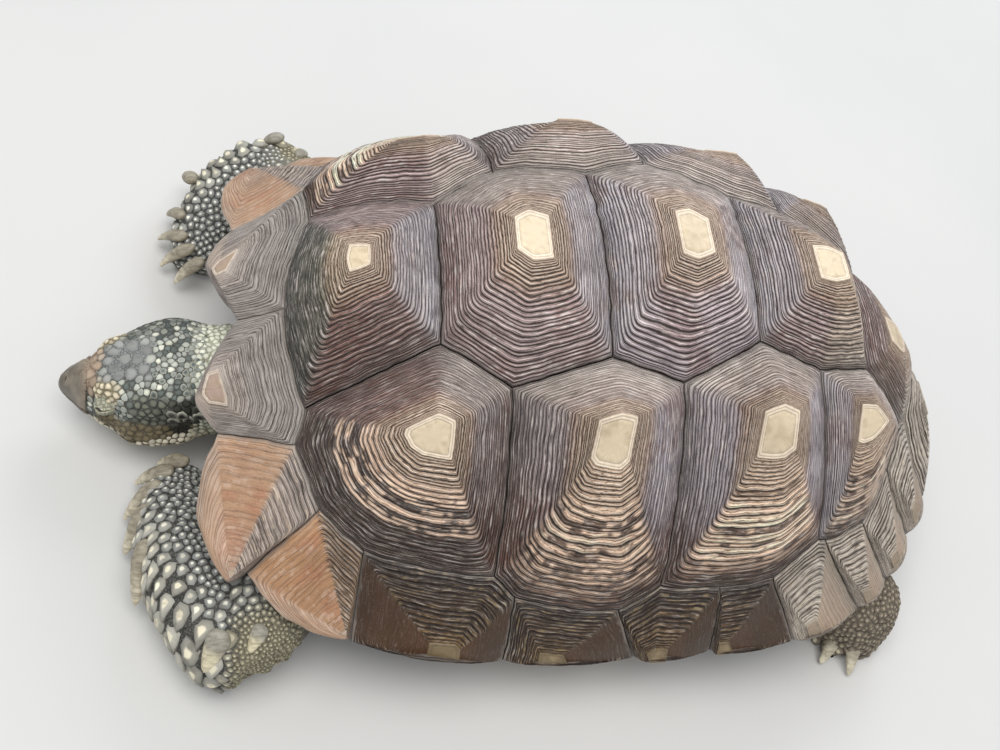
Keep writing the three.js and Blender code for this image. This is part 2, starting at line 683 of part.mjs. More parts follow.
const hindleg = {
  upper: [[72, 14, -13.5, 7.4, 6.0], [80, 22, -15.2, 7.0, 5.6], [87, 27.2, -16.2, 6.0, 5.2]],
  lower: [[87.6, 27.4, -11.4, 3.0, 3.0], [88.0, 27.6, -13.0, 5.4, 5.2], [88.4, 27.8, -16.5, 6.5, 6.2],
    [88.8, 28.0, -20.5, 6.5, 6.3], [88.8, 28.2, -23.6, 7.0, 6.7]],
  claws: [[[83.4, 26.4, -21.2], [80.6, 26.2, -22.5]], [[83.8, 29.8, -21.2], [81.4, 31.0, -22.5]],
    [[85.4, 32.6, -21.2], [83.8, 34.9, -22.5]], [[88.2, 33.9, -21.2], [87.8, 36.6, -22.5]]],
  clawRadius: 5.0,
};

/** The same body on the other side of the midline. */
function mirrored(g) {
  const copy = g.clone();
  copy.scale(1, -1, 1);
  return faceOut(copy);
}

function addPair(name, left, colour, roughness) {
  add(`${name}_left`, left, colour, roughness);
  add(`${name}_right`, mirrored(left), colour, roughness);
}

const clawsOf = (leg, side) => leg.claws.map(([root, tip]) => claw(root, tip, leg.clawRadius, side));
const forelegBody = (leg, side) => largest(fitted([
  limb(leg.upper, side), limb(leg.lower, side), ...clawsOf(leg, side)]));
add('foreleg_left', fromSolid(forelegBody(leftForeleg, -1)), colours.skin, 0.8);
add('foreleg_right', fromSolid(forelegBody(rightForeleg, 1)), colours.skin, 0.8);
const hindBody = largest(fitted([
  limb(hindleg.upper, -1), column(hindleg.lower, -1), ...clawsOf(hindleg, -1)]));
addPair('hindleg', fromSolid(hindBody), colours.skin, 0.8);

const tailStations = [[84, 0, -12, 6.0, 5.0], [92, 0.5, -13.2, 5.0, 4.2], [97, 1.6, -15.8, 3.7, 3.4],
  [100, 3.2, -18.4, 2.3, 2.2], [101.4, 4.6, -20.2, 1.0, 1.0]];
add('tail', fromSolid(largest(fitted([limb(tailStations, 1, 12)]))), colours.skin, 0.85);

// ---------------------------------------------------------------- head and neck
const neckEnd = -3.0;            // where the neck meets the head, in units along
const neckStations = [[14, -0.2, -11.5, 7.6, 6.8], [6, -0.8, -11.8, 7.1, 6.4], [0, -1.2, -12.7, 6.7, 6.4],
  [neckEnd, headSide, -13.3, 6.5, 6.7]];
// Head sections: along, half width, top and underside heights, all in units.
const headStations = [
  [neckEnd, 6.4, -6.7, -20.0],
  [-6.0, 7.3, -6.5, -20.4],
  [-9.0, 7.7, -6.9, -20.7],
  [-12.0, 7.4, -7.5, -20.6],
  [-14.5, 6.6, -8.3, -20.2],
  [-16.8, 5.5, -9.6, -19.7],
  [-18.8, 4.1, -11.3, -19.0],
  [-20.4, 2.7, -12.9, -18.2],
  [-21.4, 1.3, -14.2, -17.2],
];
const beakTip = [-21.8, headSide, -15.8];
const mouth = -16.6;             // height of the mouth line and rear end of the beak, in units
const beakBack = -17.6;
const eyePlace = [-15.4, 5.5, -12.4];

const neckBody = largest(fitted([limb(neckStations, 1, 18)]).subtract(
  block(-farAway, neckEnd * unit + gap, -farAway, farAway, -farAway, farAway)));
add('neck', fromSolid(neckBody), colours.skin, 0.85);

function headSolid() {
  const n = 18;
  const along = V(-1, 0, 0);
  const rings = headStations.map(([x, half, top, under]) => (
    ring(at([x, headSide, (top + under) / 2]), along, half * unit, (top - under) / 2 * unit, n, 2.5)));
  const [x, , top, under] = headStations[0];
  return solid(stack(rings, at([x, headSide, (top + under) / 2]), at(beakTip)));
}

const mouthHeight = (mouth + notchHeight) * unit;
const beakX = beakBack * unit;
const beakBlock = (rear, z0, z1) => block(-farAway, rear, -farAway, farAway, z0, z1);
const eyeBall = (side, grow) => {
  const g = new THREE.SphereGeometry(eyeRadius + grow, 12, 8);
  g.rotateX(Math.PI / 2);
  const place = at([eyePlace[0], headSide + side * eyePlace[1], eyePlace[2]]);
  g.translate(place.x, place.y, place.z);
  return g;
};
const wholeHead = headSolid();
const skull = wholeHead
  .subtract(beakBlock(beakX + gap, -farAway, farAway))
  .subtract(solid(eyeBall(1, gap)))
  .subtract(solid(eyeBall(-1, gap)));
add('head', fromSolid(largest(skull)), colours.skin, 0.8);
add('beak_upper', fromSolid(largest(wholeHead.intersect(
  beakBlock(beakX, mouthHeight + gap / 2, farAway)))), colours.horn, 0.45);
add('beak_lower', fromSolid(largest(wholeHead.intersect(
  beakBlock(beakX, -farAway, mouthHeight - gap / 2)))), colours.horn, 0.45);
add('eye_left', eyeBall(-1, 0), colours.eye, 0.1);
add('eye_right', eyeBall(1, 0), colours.eye, 0.1);

// ---------------------------------------------------------------- origin
// The origin is the middle of the model's footprint, on the floor.
const bounds = new THREE.Box3().setFromObject(tortoise);
const origin = bounds.getCenter(V(0, 0, 0)).setZ(bounds.min.z);
tortoise.position.sub(origin);

export default tortoise;
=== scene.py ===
"""A life-size sulcata tortoise round its frame: shell plates, skin, scales, beak, claws and eyes."""

import math
from types import SimpleNamespace

import bpy
import numpy as np
from mathutils import Matrix, Vector
from mathutils.bvhtree import BVHTree
from mathutils.kdtree import KDTree


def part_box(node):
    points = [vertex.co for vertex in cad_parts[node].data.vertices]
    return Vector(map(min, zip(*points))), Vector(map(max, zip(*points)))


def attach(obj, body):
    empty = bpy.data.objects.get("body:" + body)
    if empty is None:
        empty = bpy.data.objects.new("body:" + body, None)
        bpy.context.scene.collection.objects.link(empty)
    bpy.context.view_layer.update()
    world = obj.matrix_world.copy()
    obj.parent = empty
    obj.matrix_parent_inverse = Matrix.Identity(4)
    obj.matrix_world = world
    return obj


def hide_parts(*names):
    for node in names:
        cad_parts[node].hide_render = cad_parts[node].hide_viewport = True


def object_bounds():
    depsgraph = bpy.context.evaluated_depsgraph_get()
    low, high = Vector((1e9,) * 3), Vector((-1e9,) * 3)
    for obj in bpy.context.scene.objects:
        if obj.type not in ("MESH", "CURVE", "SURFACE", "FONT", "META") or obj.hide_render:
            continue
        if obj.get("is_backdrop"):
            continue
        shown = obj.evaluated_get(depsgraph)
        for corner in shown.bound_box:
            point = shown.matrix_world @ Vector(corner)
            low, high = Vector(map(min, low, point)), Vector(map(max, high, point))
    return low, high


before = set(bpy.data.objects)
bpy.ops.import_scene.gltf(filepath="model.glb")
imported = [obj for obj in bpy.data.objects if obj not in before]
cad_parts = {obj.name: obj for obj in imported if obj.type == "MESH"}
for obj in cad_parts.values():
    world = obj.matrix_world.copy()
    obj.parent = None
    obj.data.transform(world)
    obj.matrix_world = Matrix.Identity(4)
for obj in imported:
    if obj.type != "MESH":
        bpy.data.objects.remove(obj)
CAD_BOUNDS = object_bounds()

bl_info = {
    "name": "Sulcata Tortoise",
    "version": (1, 0, 0),
    "blender": (4, 5, 0),
    "location": "View3D > Sidebar > Tortoise",
    "description": "Builds a life-size sulcata tortoise piece by piece",
    "category": "Add Mesh",
}

# ---------------------------------------------------------------- sizes
SHELL_LENGTH = 0.450
UNIT = SHELL_LENGTH / 102.6  # the landmarks below are in these steps
NOTCH_HEIGHT = 23  # height of the nuchal notch above the floor, in units
EYE_MARK = (-15.4, 5.5, -12.4)  # along, out from the head's own middle, up
HEAD_SIDE = -1.4  # the head is carried this far to the left, in units
MM = 0.001
FLOOR_CLEAR = 0.0003  # the lowest scales and claws stay this far above the floor
DARKEST = 0.004  # no tint goes below this
DOME_COLUMNS, RIM_COLUMNS, TAIL_COLUMNS = 224, 126, 150  # places round a plate's edge
NECK_SIDE = -1.2  # the neck's middle, in units
GAP = 0.0004  # clear distance between plates
SHELL_RADIUS = 0.165  # the seams bow out with this radius
PLATE_THICKNESS = 0.008
RIM_THICKNESS = 0.005
BRIDGE_LIP = 0.013
SPINE_FRONT, SPINE_REAR, SPINE_HEIGHT = 0.095, 0.330, 0.062


def middle_of(node):
    low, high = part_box(node)
    return (np.array(low) + np.array(high)) / 2


def find_shell_origin():
    """The floor point under the nuchal notch, worked back from the two eyes."""
    left, right = middle_of("eye_left"), middle_of("eye_right")
    return np.array([left[0] - EYE_MARK[0] * UNIT, (left[1] + right[1]) / 2 - HEAD_SIDE * UNIT, 0.0])


SHELL_ORIGIN = find_shell_origin()

# ---------------------------------------------------------------- shell landmarks
# Right half, in units: along the shell from the notch, out from the midline, up from the notch.
FRONT_POINT = (5.6, 0, 3.1)
TAIL_POINT = (95.0, 0, 0.2)
VERTEBRAL_SEAM = (
    (8.5, 14.7, 3.0), (23.3, 10.8, 13.3), (31.3, 16.9, 14.2), (42.3, 14.3, 18.2), (50.8, 17.2, 18.4),
    (60.8, 11.5, 20.0), (70.0, 12.6, 16.8), (79.2, 9.0, 13.0), (88.6, 11.0, 3.2), (91.5, 8.5, 1.0),
)
MARGINAL_SEAM = (
    (7.6, 19.9, 3.1), (10.7, 27.0, 0.9), (16.0, 31.5, 0.1), (31.0, 34.6, 1.1), (34.3, 35.5, -2.4),
    (47.7, 36.0, -4.2), (51.4, 35.0, 1.0), (59.9, 34.3, -0.2), (67.0, 32.8, 0.1), (72.4, 29.0, 3.6),
    (74.6, 28.1, 1.4), (81.0, 25.0, 1.0), (86.0, 16.8, 1.7),
)
RIM = (
    (0.2, 0, -0.2), (-1.3, 15.8, -1.7), (3.2, 31.3, -7.3), (15.8, 38.6, -9.4), (34.8, 39.6, -12.0),
    (52.0, 38.8, -12.0), (62.0, 38.0, -11.0), (73.6, 36.9, -10.0), (83.6, 32.4, -9.0), (88.8, 28.3, -8.5),
    (94.0, 21.3, -8.5), (98.7, 14.8, -9.0), (102.6, 0, -9.5),
)
FRONT_CORNER = (-4.4, 10.0, -2.9)
RIM_SWELL = (0.1, 0.16, 0.14, 0.05, 0.03, 0.03, 0.04, 0.09, 0.1, 0.12, 0.12, 0.06)
POINTED_PLATE = 1
RIM_POINT_REACH = (-1.9, 2.0, -0.4)
VERTEBRAL_AREOLA = ((13.4, 0, 14.6), (33.3, 0, 21.8), (52.3, 0, 25.1), (71.7, 0, 22.4), (88.2, 0, 9.3))
COSTAL_AREOLA = ((22.0, 23.1, 12.3), (41.8, 24.8, 16.7), (62.2, 22.4, 17.1), (77.0, 18.1, 14.2))
TAIL_AREOLA = (100.5, 0, -4.6)
SEAM_ABOVE = (
    FRONT_POINT, MARGINAL_SEAM[0], MARGINAL_SEAM[1], MARGINAL_SEAM[2], MARGINAL_SEAM[4], MARGINAL_SEAM[5],
    MARGINAL_SEAM[7], MARGINAL_SEAM[8], MARGINAL_SEAM[10], MARGINAL_SEAM[11], MARGINAL_SEAM[12],
    VERTEBRAL_SEAM[9], TAIL_POINT,
)
BRIDGE_CORNERS = (4, 5, 6)
SIDES = (("left", -1), ("right", 1))


# ---------------------------------------------------------------- helpers
def rgb(red, green, blue):
    """Screen colour, 0 to 255, as linear values."""
    c = np.array([red, green, blue], float) / 255
    return np.where(c <= 0.04045, c / 12.92, ((c + 0.055) / 1.055) ** 2.4)


def unit_rows(v):
    return v / np.maximum(np.linalg.norm(v, axis=-1, keepdims=True), 1e-12)


def smooth(x, low, high):
    """0 below low, 1 above high, and an even step between."""
    t = np.clip((np.asarray(x, float) - low) / (high - low), 0, 1)
    return t * t * (3 - 2 * t)


def blend(a, b, share):
    return a + (b - a) * share


def waves(points, wavelength, seed, octaves=2):
    """Smooth noise between about -1 and 1 at points of any dimension."""
    rng = np.random.default_rng(seed)
    total = np.zeros(points.shape[:-1])
    weight = 0.0
    for octave in range(octaves):
        strength = 0.6 ** octave
        for _ in range(7):
            direction = rng.normal(size=points.shape[-1])
            direction *= (
                2 * math.pi / wavelength * 2 ** octave * rng.uniform(0.6, 1.4) / np.linalg.norm(direction))
            total += strength * np.sin(points @ direction + rng.uniform(0, 2 * math.pi))
        weight += strength * math.sqrt(7 / 2)
    return np.clip(total / (weight * 1.5), -1, 1)


def at(mark, side=1):
    """Landmark to a place in metres; side is 1 on the right and -1 on the left."""
    return SHELL_ORIGIN + np.array([mark[0], side * mark[1], mark[2] + NOTCH_HEIGHT]) * UNIT


def outward(p):
    """Direction that points out of the shell at one place or many."""
    local = p - SHELL_ORIGIN
    spine = np.clip(local[..., 0], SPINE_FRONT, SPINE_REAR)
    return unit_rows(np.stack([local[..., 0] - spine, local[..., 1], local[..., 2] - SPINE_HEIGHT], -1))


def deselect():
    if bpy.context.object and bpy.context.object.mode != "OBJECT":
        bpy.ops.object.mode_set(mode="OBJECT")
    bpy.ops.object.select_all(action="DESELECT")


def select(*objects):
    deselect()
    for o in objects:
        o.select_set(True)
    bpy.context.view_layer.objects.active = objects[0]


def read(items, key, per=1, kind=float):
    """One property of every item of a mesh, as an array with a row of per numbers for each."""
    values = np.empty(len(items) * per, kind)
    items.foreach_get(key, values)
    return values if per == 1 else values.reshape(-1, per)


def places(mesh):
    return read(mesh.vertices, "co", 3)


def set_places(mesh, co):
    mesh.vertices.foreach_set("co", np.ascontiguousarray(co, np.float32).ravel())
    mesh.update()


def normals_of(mesh):
    return read(mesh.vertex_normals, "vector", 3)


def corner_vertices(mesh):
    return read(mesh.loops, "vertex_index", kind=np.int32)


def wrapped(a):
    """The same grid with its first column repeated at the end."""
    return np.concatenate([a, a[:, :1]], 1)


def set_map(mesh, name, values):
    """A UV map from one pair of numbers for each face corner."""
    layer = mesh.uv_layers.get(name) or mesh.uv_layers.new(name=name)
    layer.data.foreach_set("uv", np.ascontiguousarray(values, np.float32).ravel())


def set_tint(mesh, colours, lines=None):
    """The piece's own colours, one for each vertex; lines says how strongly growth lines show there."""
    colours = colours.reshape(-1, 3)
    lines = np.ones(len(colours)) if lines is None else lines.ravel()
    layer = mesh.color_attributes.get("tint") or mesh.color_attributes.new("tint", "FLOAT_COLOR", "POINT")
    layer.data.foreach_set("color", np.column_stack([colours, lines]).astype(np.float32).ravel())


def finish_piece(o, name, material, replaces=(), smooth_angle=None):
    """Names a finished piece, gives it its material and ties it to the frame."""
    o.name = name
    o.data.name = name
    o.data.materials.clear()
    o.data.materials.append(material)
    select(o)
    if smooth_angle is None:
        bpy.ops.object.shade_smooth()
    else:
        bpy.ops.object.shade_smooth_by_angle(angle=math.radians(smooth_angle))
    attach(o, "root")
    if replaces:
        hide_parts(*replaces)
    deselect()
    return o


def sheet_of(rows):
    """A grid primitive wrapped round: rows is (rows, columns, 3), and each row closes on itself."""
    count, columns = rows.shape[:2]
    deselect()
    bpy.ops.mesh.primitive_grid_add(x_subdivisions=columns, y_subdivisions=count - 1, size=1)
    o = bpy.context.object
    set_places(o.data, wrapped(rows).reshape(-1, 3))
    return o


def weld(o, reach, turn_out=False):
    """Merges points that lie within reach, and turns the faces out where asked."""
    select(o)
    bpy.ops.object.mode_set(mode="EDIT")
    bpy.ops.mesh.select_all(action="SELECT")
    bpy.ops.mesh.remove_doubles(threshold=reach)
    if turn_out:
        bpy.ops.mesh.normals_make_consistent(inside=False)
    bpy.ops.object.mode_set(mode="OBJECT")


def close_up(o):
    """Merges the two ends of each row and the points of each pole, and turns the faces out."""
    weld(o, 2e-6, turn_out=True)


def even_out(o, voxel_size, rounds):
    """Rebuilds a solid as one even skin and softens it."""
    remesh = o.modifiers.new("even", "REMESH")
    remesh.mode = "VOXEL"
    remesh.voxel_size = voxel_size
    bpy.ops.object.modifier_apply(modifier=remesh.name)
    soft = o.modifiers.new("soft", "SMOOTH")
    soft.factor = 0.5
    soft.iterations = rounds
    bpy.ops.object.modifier_apply(modifier=soft.name)


def rest_on_floor(o):
    """Lifts whatever reaches below the floor to just above it."""
    co = places(o.data)
    co[:, 2] = np.maximum(co[:, 2], FLOOR_CLEAR)
    set_places(o.data, co)


# ---------------------------------------------------------------- shader maths
class Value:
    """A number socket. Arithmetic on it adds Math nodes."""

    def __init__(self, shader, socket):
        self.shader, self.socket = shader, socket

    def math(self, operation, *others):
        return self.shader.value("ShaderNodeMath", {"operation": operation}, dict(enumerate((self, *others))))

    def __add__(self, other):
        return self.math("ADD", other)

    def __sub__(self, other):
        return self.math("SUBTRACT", other)

    def __rsub__(self, other):
        return self.shader.value("ShaderNodeMath", {"operation": "SUBTRACT"}, {0: other, 1: self})

    def __mul__(self, other):
        return self.math("MULTIPLY", other)

    __radd__ = __add__

    def fract(self):
        return self.math("FRACT")

    def ramp(self, low, high):
        """0 below low and 1 above high; it falls instead where low is above high."""
        settings = {"interpolation_type": "SMOOTHSTEP"}
        if low < high:
            return self.shader.value("ShaderNodeMapRange", settings, {0: self, 1: low, 2: high})
        return self.shader.value("ShaderNodeMapRange", settings, {0: self, 1: high, 2: low, 3: 1.0, 4: 0.0})


class Shader:
    """A material in the making."""

    def __init__(self, name):
        self.material = bpy.data.materials.new(name)
        self.material.use_nodes = True
        self.nodes = self.material.node_tree.nodes
        self.links = self.material.node_tree.links
        self.nodes.clear()
        self.surface = self.node("ShaderNodeBsdfPrincipled")
        self.node("ShaderNodeOutputMaterial", inputs={"Surface": self.surface.outputs["BSDF"]})

    def node(self, kind, settings=None, inputs=None):
        node = self.nodes.new(kind)
        for key, value in (settings or {}).items():
            setattr(node, key, value)
        for key, value in (inputs or {}).items():
            self.feed(node.inputs[key], value)
        return node

    def feed(self, socket, value):
        if isinstance(value, Value):
            value = value.socket
        if isinstance(value, bpy.types.NodeSocket):
            self.links.new(value, socket)
        elif isinstance(value, (tuple, list, np.ndarray)) and socket.type == "RGBA":
            socket.default_value = (*[float(x) for x in value][:3], 1.0)
        else:
            socket.default_value = value

    def value(self, kind, settings=None, inputs=None, output=0):
        return Value(self, self.node(kind, settings, inputs).outputs[output])

    def mix(self, share, a, b, how="MIX"):
        node = self.node("ShaderNodeMix", {"data_type": "RGBA", "blend_type": how}, {0: share, 6: a, 7: b})
        return node.outputs[2]

    def scaled(self, vector, factors):
        node = self.node("ShaderNodeVectorMath", {"operation": "MULTIPLY"}, {0: vector, 1: factors})
        return node.outputs[0]

    def shifted(self, vector, noise, reach):
        """The vector moved about by a colour noise."""
        centred = self.node("ShaderNodeVectorMath", {"operation": "SUBTRACT"}, {0: noise, 1: (0.5, 0.5, 0.5)})
        moved = self.node("ShaderNodeVectorMath", {"operation": "SCALE"},
                          {0: centred.outputs[0], "Scale": reach})
        return self.node("ShaderNodeVectorMath", {"operation": "ADD"},
                         {0: vector, 1: moved.outputs[0]}).outputs[0]

    def noise(self, vector, scale, detail=3.0, roughness=0.55, kind="Fac"):
        node = self.node("ShaderNodeTexNoise", inputs={
            "Vector": vector, "Scale": scale, "Detail": detail, "Roughness": roughness})
        return Value(self, node.outputs["Fac"]) if kind == "Fac" else node.outputs["Color"]

    def place(self):
        return self.node("ShaderNodeTexCoord").outputs["Object"]

    def bump(self, height, distance, strength=1.0, normal=None):
        inputs = {"Height": height, "Distance": distance, "Strength": strength}
        if normal is not None:
            inputs["Normal"] = normal
        return self.node("ShaderNodeBump", inputs=inputs).outputs[0]

    def set(self, **inputs):
        """Feeds the surface's own sockets; underscores stand for blanks."""
        for key, value in inputs.items():
            self.feed(self.surface.inputs[key.replace("_", " ")], value)


# ---------------------------------------------------------------- shell seams
def rim_depth(k):
    return BRIDGE_LIP if k in BRIDGE_CORNERS else RIM_THICKNESS


def rim_inward(k, side):
    """A rim corner's way in: square to the rim and to the plate's own seam."""
    last = len(RIM) - 1
    before = at(RIM[max(k - 1, 0)], side) if k else at(RIM[1], -side)
    after = at(RIM[k - 1], -side) if k == last else at(RIM[k + 1], side)
    inward = unit_rows(np.cross(after - before, at(RIM[k], side) - at(SEAM_ABOVE[k], side)))
    return -inward if inward @ outward(at(SEAM_ABOVE[k], side)) > 0 else inward


def rim_end(k, side):
    reach = RIM_POINT_REACH if k == POINTED_PLATE else (0, 0, 0)
    return at(np.add(RIM[k + 1], reach), side)


def seam(a, b):
    """Seam from a to b, bowed out like the dome. Each walk gives place, way in and depth at shares t."""
    bow = (b - a) @ (b - a) / (8 * SHELL_RADIUS)

    def walk(t):
        p = a + (b - a) * t[:, None]
        p = p + outward(p) * (bow * 4 * t * (1 - t))[:, None]
        return p, -outward(p), np.full(len(t), PLATE_THICKNESS)
    return walk


def margin_seam(k, side):
    """Seam between two marginal plates, from the costal side down to rim corner k."""
    top, low = at(SEAM_ABOVE[k], side), at(RIM[k], side)
    top_in, low_in = -outward(top), rim_inward(k, side)
    hollow = (-0.05 if k in BRIDGE_CORNERS else 0.025) * np.linalg.norm(low - top)

    def walk(t):
        inward = unit_rows(top_in + (low_in - top_in) * t[:, None])
        p = top + (low - top) * t[:, None] + inward * (hollow * np.sin(math.pi * t))[:, None]
        return p, inward, PLATE_THICKNESS + (rim_depth(k) - PLATE_THICKNESS) * t
    return walk


def rim_edge(k, side):
    """Free edge from rim corner k to the next, swelling outward."""
    a, b = at(RIM[k], side), rim_end(k, side)
    in_a, in_b = rim_inward(k, side), rim_inward(k + 1, side)
    out = unit_rows(np.array([b[1] - a[1], a[0] - b[0], 0.0]))
    if out @ ((a - SHELL_ORIGIN - (SHELL_LENGTH / 2, 0, 0)) * (1, 1, 0)) < 0:
        out = -out
    swell = RIM_SWELL[k] * np.linalg.norm(b - a)

    def walk(t):
        p = a + (b - a) * t[:, None] + out * (swell * np.sin(math.pi * t))[:, None]
        return p, unit_rows(in_a + (in_b - in_a) * t[:, None]), rim_depth(k) * (1 - t) + rim_depth(k + 1) * t
    return walk


def straight(a, b, in_a, in_b, push=0.0):
    """Rim edge that bows forward by a set amount."""
    def walk(t):
        p = a + (b - a) * t[:, None] - np.array([1.0, 0, 0]) * (push * 4 * t * (1 - t))[:, None]
        return p, unit_rows(in_a + (in_b - in_a) * t[:, None]), np.full(len(t), RIM_THICKNESS)
    return walk


def back(walk):
    """The same seam walked the other way."""
    return lambda t: walk(1 - t)


# ---------------------------------------------------------------- shell finishes
# Horn colours from the areola out to the seam, then how strongly the growth lines show and stand up. The
# grey-lilac of the side, flank, violet and lilac finishes is partly the horn's own colour and partly a
# painted reflection of the sky on glossy brown horn.
HORN = {
    "bold": (rgb(226, 196, 172), rgb(220, 190, 164), rgb(96, 72, 58), 1.0, 1.0),
    "boldfine": (rgb(206, 180, 158), rgb(176, 152, 132), rgb(112, 94, 80), 0.9, 0.75),
    "upper": (rgb(182, 156, 140), rgb(172, 157, 149), rgb(166, 155, 147), 0.92, 0.75),
    "crest": (rgb(164, 138, 122), rgb(152, 138, 130), rgb(146, 136, 128), 0.92, 0.75),
    "side": (rgb(152, 126, 114), rgb(140, 130, 130), rgb(108, 98, 97), 0.95, 0.75),
    "flank": (rgb(170, 150, 144), rgb(158, 150, 156), rgb(126, 118, 122), 0.9, 0.7),
    "violet": (rgb(180, 154, 142), rgb(172, 158, 162), rgb(148, 136, 142), 1.0, 0.85),
    "lilac": (rgb(178, 154, 140), rgb(172, 164, 168), rgb(152, 148, 154), 0.92, 0.7),
    "mauve": (rgb(178, 146, 130), rgb(164, 144, 142), rgb(136, 116, 114), 1.0, 0.9),
    "red": (rgb(160, 126, 112), rgb(134, 108, 102), rgb(100, 78, 72), 1.0, 0.8),
    "green": (rgb(140, 128, 104), rgb(92, 90, 78), rgb(54, 55, 49), 1.0, 1.3),
    "tan": (rgb(202, 176, 152), rgb(182, 164, 148), rgb(156, 144, 132), 0.92, 0.75),
    "dark": (rgb(150, 122, 102), rgb(120, 98, 86), rgb(96, 80, 72), 0.7, 0.5),
    "plank": (rgb(190, 178, 168), rgb(166, 157, 151), rgb(158, 151, 145), 0.6, 0.4),
    "lip": (rgb(190, 176, 164), rgb(180, 166, 154), rgb(192, 182, 170), 0.35, 0.2),
    "ribbed": (rgb(190, 172, 158), rgb(172, 155, 142), rgb(166, 153, 144), 0.62, 0.45),
    "ribtawny": (rgb(168, 142, 116), rgb(150, 122, 94), rgb(142, 118, 94), 0.9, 0.65),
    "orange": (rgb(178, 150, 128), rgb(178, 141, 111), rgb(188, 151, 121), 0.22, 0.12),
    "amber": (rgb(176, 140, 108), rgb(172, 130, 94), rgb(184, 142, 104), 0.22, 0.12),
    "orangerim": (rgb(184, 156, 134), rgb(180, 146, 118), rgb(176, 150, 128), 0.3, 0.12),
    "soft": (rgb(190, 166, 144), rgb(174, 154, 136), rgb(174, 160, 142), 0.3, 0.2),
    "ribdark": (rgb(120, 90, 44), rgb(82, 56, 24), rgb(43, 27, 12), 1.0, 1.0),
    "darksmooth": (rgb(78, 50, 25), rgb(64, 41, 19), rgb(60, 38, 18), 0.14, 0.15),
    "umber": (rgb(80, 50, 24), rgb(72, 45, 20), rgb(58, 36, 16), 0.14, 0.15),
    "weathered": (rgb(224, 212, 194), rgb(214, 202, 186), rgb(198, 187, 172), 0.9, 0.7),
    "belly": (rgb(206, 180, 138), rgb(200, 172, 128), rgb(176, 146, 104), 0.5, 0.25),
}
AREOLA = {
    "cream": (rgb(222, 204, 174), rgb(240, 222, 198)),
    "mauve": (rgb(182, 158, 142), rgb(222, 206, 188)),
    "pale": (rgb(192, 170, 150), rgb(212, 196, 178)),
    "dim": (rgb(128, 110, 80), rgb(140, 120, 90)),
    "brown": (rgb(160, 142, 122), rgb(184, 168, 148)),
    "belly": (rgb(196, 168, 122), rgb(190, 160, 116)),
}
CREAM, BARK, RUST, GOLD = rgb(236, 210, 184), rgb(62, 43, 33), rgb(104, 66, 56), rgb(172, 136, 104)
# LOW_SIDE is the red-brown of the side and flank finishes below their painted sky sheen.
LOW_SIDE = rgb(86, 59, 48)
SEAM_GREY, SEAM_PALE = rgb(128, 122, 118), rgb(156, 148, 140)
RIM_PALE = rgb(196, 180, 160)
RING_PROFILE = ((0.0, -1.0), (0.14, 0.95), (0.5, 0.7), (0.86, 0.0))  # share of a ring's width, height


FINE_RING, BROAD_RING = 0.45, 1.25  # widths at the ends and in the middle, before they are shared out


def ring_stops(count, rng):
    """Where each growth ring starts from the seam (0) to the areola (1): fine at both ends."""
    s = (np.arange(count) + 0.5) / count
    width = FINE_RING + (BROAD_RING - FINE_RING) * np.clip(np.sin(math.pi * s ** 0.9), 0, 1) ** 0.8
    width *= rng.uniform(0.5, 1.55, count)
    return np.concatenate([[0.0], np.cumsum(width) / width.sum()])


def round_loop(values, arc, reach):
    """A closed loop evened out over a reach along itself."""
    n = len(values)
    total = arc[-1]
    step = total / n
    even = np.arange(n) * step
    closed = np.vstack([values, values[:1]])
    flat = np.stack([np.interp(even, arc, closed[:, i]) for i in range(closed.shape[1])], 1)
    k = np.fft.rfftfreq(n, step)
    damping = np.exp(-2 * (math.pi * k * reach) ** 2)[:, None]
    soft = np.fft.irfft(np.fft.rfft(flat, axis=0) * damping, n, axis=0)
    closed = np.vstack([soft, soft[:1]])
    return np.stack([np.interp(arc[:-1], np.append(even, total), closed[:, i])
                     for i in range(closed.shape[1])], 1)


def boundary_columns(edges, columns):
    """Spreads a plate's columns over its edges, with one on every corner."""
    fine = np.linspace(0, 1, 33)
    lengths = np.array([np.linalg.norm(np.diff(walk(fine)[0], axis=0), axis=1).sum() for walk, _ in edges])
    counts = np.maximum(np.round(columns * lengths / lengths.sum()).astype(int), 3)
    place, inward, depth, edge_of = [], [], [], []
    for i, ((walk, _), count) in enumerate(zip(edges, counts)):
        p, n, d = walk(np.arange(count) / count)
        place.append(p)
        inward.append(n)
        depth.append(d)
        edge_of += [i] * count
    place, inward, depth = np.vstack(place), np.vstack(inward), np.concatenate(depth)
    return place, inward, depth, np.array(edge_of)


def seam_waver(p):
    """Seams waver a little; both neighbours see the same waver because it hangs on the place alone."""
    return np.stack([waves(p, 0.019, 70 + i) for i in range(3)], -1) * 0.00055


def ring_rows_of(stops):
    """Rows from the areola's edge down to the seam: place on the way, ring, height and the ring's width."""
    found = []
    for i in range(len(stops) - 2, -1, -1):
        width = stops[i + 1] - stops[i]
        found += [(stops[i] + width * part, i + part, height) for part, height in reversed(RING_PROFILE)]
    t, ring, height = map(np.array, zip(*found))
    return t, ring, height.astype(float), np.interp(t, (stops[1:] + stops[:-1]) / 2, np.diff(stops))


